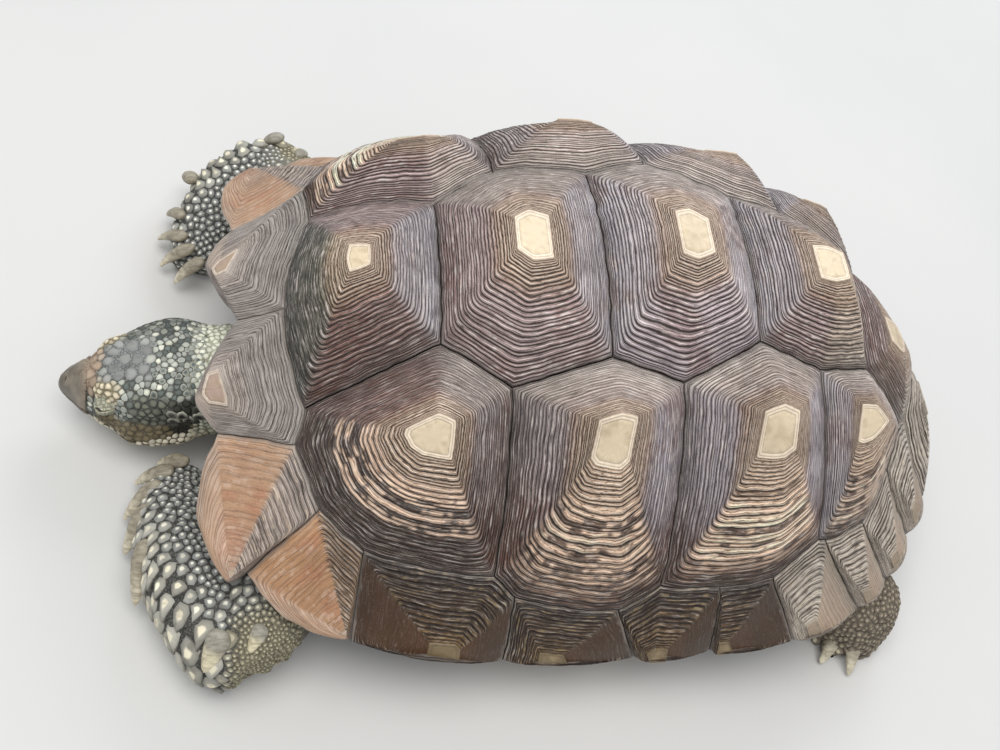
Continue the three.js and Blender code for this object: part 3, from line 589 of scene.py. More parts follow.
def finish_colour(finish, f):
    """The colours of one side's finish over a whole plate; f holds the plate's own patterns."""
    near, middle, far = HORN[finish][:3]
    own = np.where(f.t[..., None] > 0.55, blend(middle, near, smooth(f.t, 0.5, 0.92)[..., None]),
                   blend(far, middle, smooth(f.t, 0.02, 0.4)[..., None]))
    if finish in ("bold", "boldfine"):
        shade = 0.75 * f.ring_shade + 0.6 * f.patch + 0.3 * f.fleck + f.gloom
        dark_foot = 1.3 * (1 - smooth(f.t + 0.05 * f.cloud, 0.04, 0.15 + 0.5 * f.gloom))
        shade = shade + dark_foot - 0.25 * smooth(f.t, 0.62, 0.8)
        bark = (0.88 + 0.1 * (f.gloom > 0)) * smooth(shade, 0.34, 0.62)
        own = blend(own, BARK * (1 + 0.35 * f.fleck[..., None]), bark[..., None])
        own = blend(own, CREAM, (0.55 * smooth(-shade, 0.1, 0.7))[..., None])
    # Painted reflection: above the height low, the side and flank finishes keep their grey-lilac sky sheen;
    # below it they turn to the red-brown of LOW_SIDE.
    if finish == "side":
        reach = smooth(f.height + 0.008 * f.patch, f.low, f.low + 0.05) if f.low is not None else 1.0
        low_tone = LOW_SIDE * (0.8 + 0.35 * own / own.mean(-1, keepdims=True))
        own = blend(low_tone, own, np.asarray(reach)[..., None])
    if finish == "flank":
        reach = smooth(f.height + 0.008 * f.patch, f.low, f.low + 0.04)
        own = blend(LOW_SIDE, own, reach[..., None])
    if finish in ("mauve", "red", "side", "lilac", "violet", "flank"):
        own = blend(own, RUST, (0.5 * smooth(f.cloud + 0.45 * f.patch, 0.25, 0.95))[..., None])
    if finish in ("mauve", "upper", "crest", "lilac", "green", "side", "violet", "flank"):
        worn = smooth(f.fleck + 0.5 * f.patch + 0.3 * f.cloud, 0.35, 1.1) * smooth(f.crest, 0.0, 0.7)
        own = blend(own, rgb(204, 194, 188), (0.55 * worn)[..., None])
    if finish in ("ribdark", "weathered", "ribbed", "ribtawny", "tan"):
        own = own * (1 - 0.4 * smooth(f.patch + 0.5 * f.fleck, 0.1, 0.8))[..., None]
        worn = smooth(f.fleck - 0.4 * f.patch, 0.15, 0.9) * smooth(f.crest, 0.0, 0.7)
        worn_tone = rgb(184, 160, 116) if finish == "ribdark" else rgb(212, 192, 168)
        own = blend(own, worn_tone, (0.5 * worn)[..., None])
    if finish == "orangerim":
        own = blend(own, RIM_PALE, (0.8 * (1 - smooth(f.below, 0.0007, 0.0017)))[..., None])
    if finish in ("orange", "orangerim", "amber"):
        dusk = smooth(f.cloud + 0.5 * f.patch, 0.0, 0.9)
        own = blend(own, rgb(168, 112, 82), (0.5 * dusk * smooth(f.t, 0.02, 0.2))[..., None])
        own = blend(own, rgb(206, 178, 156), (0.5 * smooth(f.fleck, 0.3, 0.9))[..., None])
    return own


# The areola's rows from its middle out: share of the way to its edge, lift, and its kind: 0 plain, 1 hoop,
# -1 dark line.
AREOLA_ROWS = (
    (0.0, 0.0, 0), (0.1, 0.0, 0), (0.22, 0.0, 0), (0.36, 0.0, 0), (0.5, 0.0, 0), (0.62, -0.05, 0),
    (0.74, -0.1, 0), (0.765, -0.6, -1), (0.80, 0.1, 1), (0.85, 0.1, 1), (0.885, -0.4, -1),
    (0.915, 0.05, 1), (0.95, 0.0, 1), (0.975, -0.6, -1))


def areola_cap(middle, edge, inward, button, seed):
    """The areola: a low crowned middle, a hoop and thin dark lines."""
    places_of, tones = [], []
    for part, lift, kind in AREOLA_ROWS:
        row = middle + (edge - middle) * part - inward * (0.0012 * (part ** 2) + lift * 0.0006)
        grain = waves(row, 0.004, seed + 8) * smooth(part, 0.2, 0.6)
        plain = kind == 0 or button == "dim"
        tone = AREOLA[button][0 if plain else 1] * (1 + 0.1 * grain)[:, None]
        if kind == 0:
            mottle = 0.35 * smooth(waves(row, 0.012, seed + 9), 0.1, 0.8)
            tone = blend(tone, rgb(176, 156, 120), mottle[:, None])
        if kind < 0:
            tone = tone * (0.8 if button == "dim" else 0.55)
        places_of.append(row)
        tones.append(tone)
    return np.array(places_of), np.array(tones)


WALL_STRIPS = (0.10, 0.08, 0.065, 0.05, 0.035, 0.02, 0.008)  # where the wall's rows lie on the baking map


def map_plate(mesh, grid, arc, growth_v, centre, inward, first_wall):
    """The plate's growth map, and its baking map: the face laid flat above strips for the walls."""
    n = len(arc) - 1
    corners = corner_vertices(mesh)
    growth_u = np.broadcast_to(arc * 100, (len(grid), n + 1))
    growth = np.stack([growth_u, wrapped(growth_v)], -1).reshape(-1, 2)
    mesh.uv_layers[0].name = "growth"
    set_map(mesh, "growth", growth[corners])
    sideways = unit_rows(np.cross(inward, (0.3, 0.2, 1.0)))
    upways = np.cross(inward, sideways)
    flat_map = np.stack([(grid - centre) @ sideways, (grid - centre) @ upways], -1)
    low_corner, high_corner = flat_map.min((0, 1)), flat_map.max((0, 1))
    flat_map = (flat_map - low_corner) / (high_corner - low_corner).max()
    strip = np.linspace(0.01, 0.99, n + 1)
    bake = wrapped(flat_map * 0.86 + (0.01, 0.13))
    for row, v in zip(range(first_wall, len(grid)), WALL_STRIPS):
        bake[row] = np.stack([strip, np.full(n + 1, v)], -1)
    bake = bake.reshape(-1, 2)[corners]
    wall_face = np.arange(len(corners)) // 4 // n >= first_wall - 1
    at_edge = (corners // (n + 1) == first_wall - 1) & wall_face
    bake[at_edge, 1] = 0.12
    bake[at_edge, 0] = strip[corners[at_edge] % (n + 1)]
    set_map(mesh, "OFBake", bake)


def build_plate(edges, areola, *, columns, rings, share, swell, seed, button="cream", low=None,
                drop=0.0008, rounding=0.006, blunt=None, gloom=0.0, pale=1.0):
    """One horny plate: areola, growth rings down to the seam, side walls and inner face."""
    rng = np.random.default_rng(seed)
    p, inward_at, depth, edge_of = boundary_columns(edges, columns)
    p = p + seam_waver(p)
    n = len(p)
    steps = np.linalg.norm(np.diff(np.vstack([p, p[:1]]), axis=0), axis=1)
    arc = np.concatenate([[0.0], np.cumsum(steps)])
    total = arc[-1]
    centre, inward = p.mean(0), unit_rows(inward_at.mean(0))
    to_centre = centre - p
    to_centre -= inward_at * (to_centre * inward_at).sum(1)[:, None]
    outer = p + unit_rows(to_centre) * (GAP / 2)
    if blunt is not None:
        near_point = np.exp(-(np.linalg.norm(outer - blunt, axis=1) / 0.010) ** 2)[:, None]
        outer = blend(outer, round_loop(outer, arc, 0.0045), near_point)
    soft = round_loop(outer, arc, rounding)
    softer = round_loop(outer, arc, 0.0022)
    flat = softer - centre
    flat -= inward * (flat @ inward)[:, None]
    goal = areola + flat * share + inward * 0.0012

    # t runs from 1 at the areola's edge to 0 at the seam
    t_rows, ring_rows, height_rows, width_rows = ring_rows_of(ring_stops(rings, rng))
    rows = len(t_rows)
    crest = height_rows[:, None]

    # rings wander a little from their even course
    t = t_rows[:, None] * np.ones((1, n))
    base = outer + (goal - outer) * t[..., None]
    wander = waves(base, 0.03, seed + 1) * 0.26 + waves(base, 0.007, seed + 2) * 0.05
    t = t + wander * width_rows[:, None] * (smooth(t, 0.0, 0.06) * (1 - smooth(t, 0.93, 1.0)))
    t = np.clip(t, 0, 1)
    rounded = (0.85 * smooth(t, 0.0, 0.14) * (1 - smooth(t, 0.5, 0.95)))[..., None]
    start = outer + (soft - outer) * rounded
    face = start + (goal - start) * t[..., None] - inward * (swell * 4 * t * (1 - t))[..., None]
    span = np.linalg.norm(goal - outer, axis=1)

    # how far each place is down from the seam, and the surface's own direction there
    below = t * span
    across = np.gradient(face, axis=0)
    along = (np.roll(face, -1, 1) - np.roll(face, 1, 1))
    normal = unit_rows(np.cross(along, across))
    normal *= np.sign((normal * -inward).sum(-1).mean())
    for _ in range(2):
        normal = unit_rows(normal + np.roll(normal, 1, 1) + np.roll(normal, -1, 1))

    # each side of the plate has its own finish, and they meet in fringed mitres
    corner = [arc[np.argmax(edge_of == i)] for i in range(len(edges))] + [total]
    place_s = arc[:-1][None, :] + waves(face, 0.004, seed + 3) * 0.0011 * total / 0.3 * (1 - 0.5 * t)
    colour = np.zeros((rows, n, 3))
    line = np.zeros((rows, n))
    relief = np.zeros((rows, n))
    total_share = np.zeros((rows, n))
    hold = 0.006 * total / 0.3
    gain = rng.normal(0, 1, rings + 1)
    ring_index = np.minimum(ring_rows.astype(int), rings - 1)
    stripe = gain[ring_index][:, None] * (0.6 + 0.4 * waves(face, 0.03, seed + 4))
    cloud = waves(face, 0.045, seed + 6)

    def by_ring(reach, step):
        """Places that jump from ring to ring, so that each ring has a pattern of its own."""
        jump = np.broadcast_to((ring_index * step)[:, None, None], (rows, n, 1))
        return np.concatenate([face / reach, jump], -1)

    patch = waves(by_ring(0.016, 1.7), 1.0, seed + 5)
    fleck = waves(by_ring(0.0075, 2.9), 1.0, seed + 12)
    ring_shade = rng.uniform(-1, 1, rings + 1)[ring_index][:, None]
    strong = rng.random(rings + 1) < 0.5
    ring_force = np.where(strong, rng.uniform(0.9, 1.1, rings + 1), rng.uniform(0.5, 0.8, rings + 1))
    look = SimpleNamespace(t=t, below=below, height=face[..., 2], crest=crest, patch=patch, cloud=cloud,
                           fleck=fleck, ring_shade=ring_shade, gloom=gloom, low=low)
    for i, (_, finish) in enumerate(edges):
        member = np.zeros((rows, n))
        for turn in (-total, 0, total):
            s = place_s + turn
            member += smooth(s, corner[i] - hold, corner[i] + hold) * (
                1 - smooth(s, corner[i + 1] - hold, corner[i + 1] + hold))
        line_strength, relief_strength = HORN[finish][3:]
        own = finish_colour(finish, look)
        colour += own * member[..., None]
        line += line_strength * member
        relief += relief_strength * member
        total_share += member
    total_share = np.maximum(total_share, 1e-6)
    colour *= pale / total_share[..., None]
    line /= total_share
    relief /= total_share
    force = ring_force[ring_index][:, None] * np.ones((1, n))
    bold = line > 0.93
    line *= np.where(bold, 0.75 + 0.25 * force, force)
    relief *= 0.55 + 0.45 * force
    colour *= (1 + 0.16 * np.clip(stripe, -1.6, 1.6) * line + 0.1 * cloud)[..., None]
    # Painted light and shade, partly the horn's own colour: the crests of the growth rings are brightened and
    # their grooves darkened by their height.
    colour *= (1 + 0.40 * crest * line)[..., None]

    # the newest growth along the seam is smooth and grey, and the last rings round the areola are cream
    seam_share = 0.7 * (1 - smooth(below + waves(face, 0.006, seed + 7) * 0.0008, 0.0009, 0.0024))
    seam_share = seam_share * (0.35 + 0.65 * smooth(np.sin(below / 0.00105 * math.pi), -0.3, 0.3))
    colour = blend(colour, SEAM_GREY if button == "cream" else SEAM_PALE, seam_share[..., None])
    if button == "cream":
        warm = smooth(t + 0.03 * cloud, 0.60, 0.80)
        colour = blend(colour, GOLD * (1 + 0.2 * fleck)[..., None], (0.55 * warm)[..., None])
        hoop = smooth(t, 0.66, 0.86) * smooth(crest, 0.3, 0.95) * (0.75 + 0.25 * patch)
        colour = blend(colour, AREOLA[button][1], (0.85 * hoop)[..., None])
    line *= 1 - 0.35 * smooth(t, 0.93, 1.0)

    width = width_rows[:, None] * span
    height = np.clip(width * 0.5, 0, 0.0019) * relief * (0.8 + 0.2 * patch) * smooth(below, 0.0004, 0.002)
    face = face + normal * (crest * height * 0.5)[..., None]
    roll = drop * (1 - smooth(below, -0.0008, 0.0016)) * 2
    face = face + inward_at * roll[..., None]

    top, top_colour = areola_cap(areola, goal, inward, button, seed)

    # walls and inner face
    edge = face[-1]
    below_edge = outer + inward_at * (depth * 0.45)[:, None]
    foot = outer + inward_at * depth[:, None] + unit_rows(to_centre) * 0.0006
    wall = outer + inward_at * (depth * 0.9)[:, None]
    in_depth = depth.mean()
    inner = []
    for t_inner in (0.3, 0.65, 1.0):
        way_in = unit_rows(inward_at * (1 - t_inner) + inward * t_inner)
        sheet = foot + (goal - outer) * t_inner + (way_in - inward_at) * (in_depth * t_inner)
        inner.append(sheet)
    inner.append(np.broadcast_to(areola + inward * in_depth, (n, 3)))
    grid = np.concatenate([top, face, [below_edge, wall, foot, *inner]])
    tail = 3 + len(inner)
    shade = np.concatenate([top_colour, colour, np.repeat(colour[-1:] * 0.8, tail, 0)])
    lines = np.concatenate([np.zeros((len(top), n)), line, np.zeros((tail, n))])
    growth_v = np.concatenate([np.full(len(top), rings + 0.5), ring_rows, np.full(tail, -0.5)])
    growth_v = np.broadcast_to(growth_v[:, None], grid.shape[:2])

    o = sheet_of(grid)
    mesh = o.data
    set_tint(mesh, wrapped(np.clip(shade, DARKEST, 1)), wrapped(lines))
    map_plate(mesh, grid, arc, growth_v, centre, inward, len(top) + rows)
    close_up(o)
    return o


def vertebral_edges(i):
    """Corners and finishes of plate i in the row along the spine, right side first."""
    v = VERTEBRAL_SEAM
    if i == 0:
        marks = [(v[0], 1), (v[1], 1), (v[1], -1), (v[0], -1), (FRONT_POINT, 1)]
        finishes = ("mauve", "lilac", "red", "green", "green")  # one per side of the plate
    elif i == 4:
        marks = [(v[7], 1), (v[8], 1), (v[9], 1), (TAIL_POINT, 1), (v[9], -1), (v[8], -1), (v[7], -1)]
        finishes = ("dark", "tan", "tan", "tan", "tan", "dark", "mauve")
    else:
        a, b, c = v[2 * i - 1], v[2 * i], v[2 * i + 1]
        marks = [(a, 1), (b, 1), (c, 1), (c, -1), (b, -1), (a, -1)]
        finishes = (
            ("crest", "crest", "lilac", "mauve", "mauve", "mauve"),
            ("crest", "crest", "lilac", "violet", "violet", "lilac"),
            ("crest", "crest", "tan", "tan", "mauve", "lilac"),
        )[i - 1]
    corners = [at(mark, side) for mark, side in marks]
    return [(seam(a, b), f) for a, b, f in zip(corners, corners[1:] + corners[:1], finishes)]


COSTALS = (
    ((0, 1, 2), (3, 2, 1, 0), ("red", "upper", "side", "bold", "bold", "bold", "bold")),
    ((2, 3, 4), (6, 5, 4, 3), ("upper", "upper", "flank", "bold", "bold", "bold", "side")),
    ((4, 5, 6), (9, 8, 7, 6), ("upper", "upper", "flank", "bold", "bold", "bold", "flank")),
    ((6, 7, 8), (12, 11, 10, 9), ("upper", "upper", "boldfine", "boldfine", "boldfine", "boldfine", "lilac")),
)


def costal_edges(i, side):
    upper, lower, finishes = COSTALS[i]
    corners = [at(VERTEBRAL_SEAM[k], side) for k in upper] + [at(MARGINAL_SEAM[k], side) for k in lower]
    if side > 0:
        finishes = ["mauve" if f == "red" else f for f in finishes]
    return [(seam(a, b), f) for a, b, f in zip(corners, corners[1:] + corners[:1], finishes)]


MARGINAL_TOPS = (
    (FRONT_POINT, VERTEBRAL_SEAM[0], MARGINAL_SEAM[0]),
    MARGINAL_SEAM[0:2], MARGINAL_SEAM[1:3], MARGINAL_SEAM[2:5], MARGINAL_SEAM[4:6], MARGINAL_SEAM[5:8],
    MARGINAL_SEAM[7:9], MARGINAL_SEAM[8:11], MARGINAL_SEAM[10:12], MARGINAL_SEAM[11:13],
    (MARGINAL_SEAM[12], VERTEBRAL_SEAM[8], VERTEBRAL_SEAM[9]),
)
# Where along its rim and how far up from it each marginal plate's areola lies, how wide it is as a
# share of the plate, and the finishes of the upper, rear, rim and front sides.
MARGINALS = (
    (0.42, 0.12, 0.27, "mauve", ("plank", "plank", "lip", "plank")),
    (0.95, 0.07, 0.05, "pale", ("ribbed", "ribbed", "orangerim", "orange")),
    (0.95, 0.06, 0.05, "pale", ("ribtawny", "ribtawny", "orangerim", "amber")),
    (0.60, 0.03, 0.22, "dim", ("ribdark", "darksmooth", "ribdark", "umber")),
    (0.36, 0.03, 0.24, "dim", ("ribdark", "darksmooth", "ribdark", "ribdark")),
    (0.30, 0.03, 0.22, "dim", ("ribdark", "darksmooth", "ribdark", "ribdark")),
    (0.16, 0.03, 0.20, "dim", ("ribdark", "darksmooth", "ribdark", "ribdark")),
    (0.30, 0.04, 0.20, "brown", ("weathered", "soft", "weathered", "weathered")),
    (0.30, 0.06, 0.20, "brown", ("weathered", "soft", "weathered", "weathered")),
    (0.35, 0.08, 0.20, "brown", ("weathered", "soft", "weathered", "weathered")),
    (0.40, 0.10, 0.20, "brown", ("weathered", "soft", "weathered", "weathered")),
)
MARGINAL_SWELL = 0.0022
FRONT_SWELL = (0.0015, 0.0025)
FRONT_AREOLA = (-1.9, 9.9, -1.45)


def marginal_edges(k, side):
    """Marginal plate k, 0 to 10: along the costal side, down, back along the rim, and up."""
    top, rear, edge, front = MARGINALS[k][4]
    tops = [at(mark, side) for mark in MARGINAL_TOPS[k]]
    edges = [(seam(a, b), top) for a, b in zip(tops, tops[1:])]
    edges.append((margin_seam(k + 1, side), rear))
    in_a, in_b = rim_inward(k, side), rim_inward(k + 1, side)
    if k == 0:
        first, corner, last = at(RIM[0], side), at(FRONT_CORNER, side), at(RIM[1], side)
        edges.append((straight(last, corner, in_b, in_b, FRONT_SWELL[1]), edge))
        edges.append((straight(corner, first, in_b, in_a, FRONT_SWELL[0]), front))
    else:
        if k == POINTED_PLATE:
            edges.append((straight(at(RIM[k + 1], side), rim_end(k, side), in_b, in_b), rear))
        edges.append((back(rim_edge(k, side)), edge))
    edges.append((back(margin_seam(k, side)), front))
    return edges


def marginal_areola(k, side):
    if k == 0:
        return at(FRONT_AREOLA, side)
    along, up = MARGINALS[k][:2]
    low = blend(at(RIM[k], side), rim_end(k, side), along)
    high = np.mean([at(mark, side) for mark in MARGINAL_TOPS[k]], 0)
    edge_in = (rim_inward(k, side) + rim_inward(k + 1, side)) / 2
    return blend(low, high, up) - edge_in * MARGINAL_SWELL


def tail_plate_edges():
    top = [at(VERTEBRAL_SEAM[9], 1), at(TAIL_POINT), at(VERTEBRAL_SEAM[9], -1)]
    return [
        (seam(top[0], top[1]), "weathered"), (seam(top[1], top[2]), "weathered"),
        (margin_seam(11, -1), "weathered"), (rim_edge(11, -1), "weathered"),
        (back(rim_edge(11, 1)), "weathered"), (back(margin_seam(11, 1)), "weathered"),
    ]


# ---------------------------------------------------------------- belly plates
BELLY_OUTLINE = np.array([
    (0.5, 5), (4, 9.5), (9, 15.5), (15, 18.6), (21, 20.5), (24.5, 26.5), (28, 35), (33, 36.6), (56, 36.6),
    (61, 34), (64.5, 25.5), (68, 20.2), (73, 18.2), (79, 15.2), (85, 9.6)])
BELLY_BANDS = (("gular", 0.5, 9), ("humeral", 9, 22.5), ("pectoral", 22.5, 32), ("abdominal", 32, 59),
               ("femoral", 59, 73), ("anal", 73, 85))
BELLY_HEIGHT = 0.013
BELLY_THICKNESS = 0.008
BRIDGE_FOOT, BRIDGE_SPREAD, BRIDGE_RISE = 20, 16.6, 0.0235


def belly_half_width(x):
    return np.interp(x, BELLY_OUTLINE[:, 0], BELLY_OUTLINE[:, 1])


def belly_point(x, u, lift):
    """A place on the belly shield: x along it in units, u from -1 on the left edge to 1 on the right."""
    y = u * belly_half_width(x)
    middle = np.cos(np.clip(np.abs(u), 0, 1) * math.pi / 2)
    fork = 2.4 * middle * np.clip(1 - (x - 0.5) / 6, 0, 1)
    notch = 6 * middle * np.clip(1 - (85 - x) / 9, 0, 1)
    rise = BRIDGE_RISE * (np.clip(np.abs(y) - BRIDGE_FOOT, 0, None) / BRIDGE_SPREAD) ** 1.5
    flat = np.stack([(x + fork - notch) * UNIT, y * UNIT, BELLY_HEIGHT + rise + lift], -1)
    return SHELL_ORIGIN + flat


def build_belly_plate(front, rear, seed):
    """One band of the belly shield: two horn plates with a groove between them, drawn as one slab."""
    clear = GAP / 2 / UNIT
    count = int(26 + (rear - front) * 2.6)
    x = np.linspace(front + clear, rear - clear, count)[:, None]
    half = np.sin(np.linspace(-math.pi / 2, math.pi / 2, 91)) * 0.35 + np.linspace(-1, 1, 91) * 0.65
    u = np.broadcast_to(half, (count, 91))
    under = belly_point(x + 0 * u, u, 0 * u)
    over = belly_point(x + 0 * u, u, 0 * u + BELLY_THICKNESS)
    across = np.abs(u) * belly_half_width(x)
    to_edge = np.minimum(np.minimum(x - front, rear - x),
                         np.minimum(across, belly_half_width(x) - across))
    to_edge = to_edge * UNIT + waves(under, 0.03, seed) * 0.0008
    growth = to_edge / 0.0021
    step = np.abs(growth % 1 - 0.5) * 2
    spread = smooth(to_edge, 0.0, 0.002)
    dent = 0.00035 * smooth(step, 0.6, 1.0) * spread + 0.0011 * (1 - smooth(across * UNIT, 0.0, 0.0016))
    dent = dent + 0.0009 * (1 - smooth(np.minimum(x - front, rear - x) * UNIT, 0, 0.0014))
    under = under + np.stack([0 * dent, 0 * dent, dent], -1)
    cap = (under + over) / 2
    rows = np.concatenate([under, over[:, ::-1]], 1)
    front_cap = np.concatenate([cap[0], cap[0][::-1]])[None]
    rear_cap = np.concatenate([cap[-1], cap[-1][::-1]])[None]
    rows = np.concatenate([front_cap, rows, rear_cap])
    near, middle, far, line, _ = HORN["belly"]
    t = np.clip(to_edge / 0.03, 0, 1)[..., None]
    shade = blend(far, near, t) * (1 + 0.12 * waves(under, 0.02, seed + 1))[..., None]
    shade = blend(shade, rgb(120, 96, 70), (0.4 * smooth(waves(under, 0.05, seed + 2), 0.2, 0.9))[..., None])
    shade = np.concatenate([shade, shade[:, ::-1]], 1)
    shade = np.concatenate([shade[:1], shade, shade[-1:]])
    growth = np.concatenate([growth, growth[:, ::-1]], 1)
    growth = np.concatenate([growth[:1], growth, growth[-1:]])
    o = sheet_of(rows)
    set_tint(o.data, wrapped(shade), np.full(len(o.data.vertices), line))
    o.data.uv_layers[0].name = "growth"
    run = np.cumsum(np.linalg.norm(np.diff(rows, axis=1, append=rows[:, :1]), axis=2), 1) * 100
    flat = np.stack([wrapped(run), wrapped(growth)], -1).reshape(-1, 2)
    set_map(o.data, "growth", flat[corner_vertices(o.data)])
    close_up(o)
    return o


# ---------------------------------------------------------------- horn material
HORN_NAME = "tortoise_horn"


def horn_material(gloss):
    """Horn: its own tint, dark growth lines that are partly painted shade in the grooves, fine streaks along
    the rings and a worn sheen.
    """
    s = Shader(HORN_NAME)
    tint = s.node("ShaderNodeVertexColor", {"layer_name": "tint"})
    strength = Value(s, tint.outputs["Alpha"])
    growth = s.node("ShaderNodeUVMap", {"uv_map": "growth"}).outputs[0]
    place = s.place()
    cloud = s.noise(place, 55, 3)
    ring = s.node("ShaderNodeSeparateXYZ", inputs={0: growth})
    along, across = Value(s, ring.outputs[0]), Value(s, ring.outputs[1])
    waver = s.noise(place, 420, 2) - 0.5
    across = across + waver * 0.10
    groove = (1 - ((across + 0.5).fract() - 0.5).math("ABSOLUTE") * 2).ramp(0.38, 0.88) * strength
    lined = strength.ramp(0.0, 0.6)
    thin = (1 - ((across * 3 + 0.5).fract() - 0.5).math("ABSOLUTE") * 2).ramp(0.40, 0.95)
    fine = thin * lined * cloud.ramp(0.25, 0.5)
    hair = s.noise(s.scaled(growth, (0.38, 1.9, 1.0)), 2.0, 4, 0.62)
    streak = s.noise(s.scaled(growth, (1.3, 1.6, 1.0)), 3.0, 4, 0.7)
    speck = s.noise(place, 900, 3, 0.7)
    broad = s.noise(place, 26, 3)
    colour = s.mix(hair.ramp(0.50, 0.66) * lined * 0.55, tint.outputs["Color"], rgb(230, 220, 212))
    colour = s.mix(hair.ramp(0.5, 0.34) * lined * 0.9, colour, rgb(78, 60, 52), "MULTIPLY")
    colour = s.mix(streak.ramp(0.5, 0.3) * 0.4, colour, rgb(128, 106, 92), "MULTIPLY")
    colour = s.mix(fine * 0.75, colour, rgb(92, 72, 62), "MULTIPLY")
    # Dark grooves between the growth rings: partly the horn's own colour and dirt, partly painted shade.
    colour = s.mix(groove * 0.92, colour, rgb(42, 30, 25))
    colour = s.mix(speck.ramp(0.55, 0.75) * 0.14, colour, rgb(205, 195, 180))
    colour = s.mix(broad.ramp(0.42, 0.75) * 0.22, colour, rgb(120, 96, 84), "MULTIPLY")
    height = (1 - groove) * 0.6 + (1 - fine) * 0.25 + hair * strength * 0.4 + streak * 0.2 + speck * 0.18
    rough = gloss + groove * 0.2 + streak.ramp(0.3, 0.7) * 0.12 + cloud * 0.06
    s.set(Base_Color=colour, Roughness=rough, Normal=s.bump(height, 0.0006, 0.6), IOR=1.5)
    return s.material


# ---------------------------------------------------------------- skin
FLESH = ("trunk", "neck", "head", "tail", "foreleg_left", "foreleg_right", "hindleg_left", "hindleg_right")
BEAK = ("beak_upper", "beak_lower")
SKIN_VOXEL, BEAK_VOXEL = 0.0042, 0.0011
COAT = 0.0010  # the skin is drawn in this far to leave room for the scales
SOLE, SOLE_TILT = 0.0030, -0.3  # height of a sole's edge, and how far down skin faces before it is sole
BROWS = ((-16.1, -4.9, -9.9), (-16.4, 3.8, -9.9))  # above each eye: along, out from the head's middle, up
BROW_REACH = (2.7, 1.8, 2.1)
BEAK_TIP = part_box("beak_upper")[0][0]
MOUTH_HEIGHT = (NOTCH_HEIGHT - 16.6) * UNIT
EYE_RADIUS = 0.0054
EYE_SINK = 0.0014  # the eyes sit this much deeper than their places in the frame
LID = 0.0008


def copied(node):
    """A separate, welded copy of one of the frame's nodes."""
    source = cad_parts[node]
    o = bpy.data.objects.new("copy_" + node, source.data.copy())
    bpy.context.scene.collection.objects.link(o)
    o.data.materials.clear()
    for layer in list(o.data.uv_layers):
        o.data.uv_layers.remove(layer)
    weld(o, 1e-5)
    return o


def head_place(along, out, up):
    """A place on the head: out is measured from the head's own middle, left is negative."""
    return SHELL_ORIGIN + np.array([along, HEAD_SIDE + out, up + NOTCH_HEIGHT]) * UNIT


def marks_of(co):
    """Places as landmarks: along, across (left negative) and up, in units."""
    return (co - SHELL_ORIGIN) / UNIT - (0, 0, NOTCH_HEIGHT)


def subdivide_where(o, chosen, rounds):
    """Halves the faces whose vertices are all chosen, and softens them."""
    mesh = o.data
    select(o)
    bpy.ops.object.mode_set(mode="EDIT")
    bpy.ops.mesh.select_mode(type="FACE")
    bpy.ops.mesh.select_all(action="DESELECT")
    bpy.ops.object.mode_set(mode="OBJECT")
    starts = read(mesh.polygons, "loop_start", kind=np.int32)
    full = np.minimum.reduceat(chosen[corner_vertices(mesh)].astype(np.int8), starts)
    mesh.polygons.foreach_set("select", full.astype(bool))
    bpy.ops.object.mode_set(mode="EDIT")
    bpy.ops.mesh.subdivide(number_cuts=1, smoothness=0.0)
    bpy.ops.mesh.vertices_smooth(factor=0.5, repeat=rounds)
    bpy.ops.object.mode_set(mode="OBJECT")


def in_boxes(co, nodes, reach):
    inside = np.zeros(len(co), bool)
    for node in nodes:
        low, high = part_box(node)
        inside |= np.all((co > np.array(low) - reach) & (co < np.array(high) + reach), 1)
    return inside


def falloff(co, centre, radii):
    """1 at a centre, fading out over an ellipsoid of those radii, in units."""
    d = (co - centre) / (np.asarray(radii) * UNIT)
    return np.exp(-(d * d).sum(1))


def eye_frames():
    """Each eye's middle and its own outward, forward and upward directions."""
    for name, side in SIDES:
        out = unit_rows(np.array([-0.30, side * 0.86, 0.42]))
        forward = unit_rows(np.array([-1.0, 0, 0]) + out * out[0])
        middle = shape_head(middle_of("eye_" + name)[None])[0] - out * EYE_SINK
        yield middle, out, forward, np.cross(out, forward) * side


def lid_gap(a, b):
    """How far each place lies outside the lids' opening; a runs forward and b up from the eye's middle."""
    half = 0.00012 + 0.00130 * np.exp(-((a - 0.0013) / 0.0014) ** 2)
    half = half * np.clip((0.0042 - np.abs(a)) / 0.0010, 0, 1)
    middle = -0.0004 + 20 * (a + 0.0004) ** 2
    return np.abs(b - middle) - half


def shape_head(co):
    """Gives the head its own outline: broad behind, tapering to the beak, the muzzle a little to the left."""
    m = marks_of(co)
    x, out = -m[:, 0], m[:, 1] - HEAD_SIDE
    taper = 0.16 * smooth(x, 12.0, 15.0) + 0.10 * smooth(x, 16.0, 17.6) + 0.14 * smooth(x, 17.2, 20.4)
    shift = 0.55 * smooth(x, 10.5, 14.5) * (1 - smooth(x, 18.0, 21.0))
    broad = 1.2 * smooth(out, 0.5, 5.5) * smooth(x, -3.0, 1.0) * (1 - smooth(x, 7.0, 13.0))
    co = co.copy()
    co[:, 1] += (broad - taper * out - shift) * UNIT * (m[:, 2] < 4)
    return co


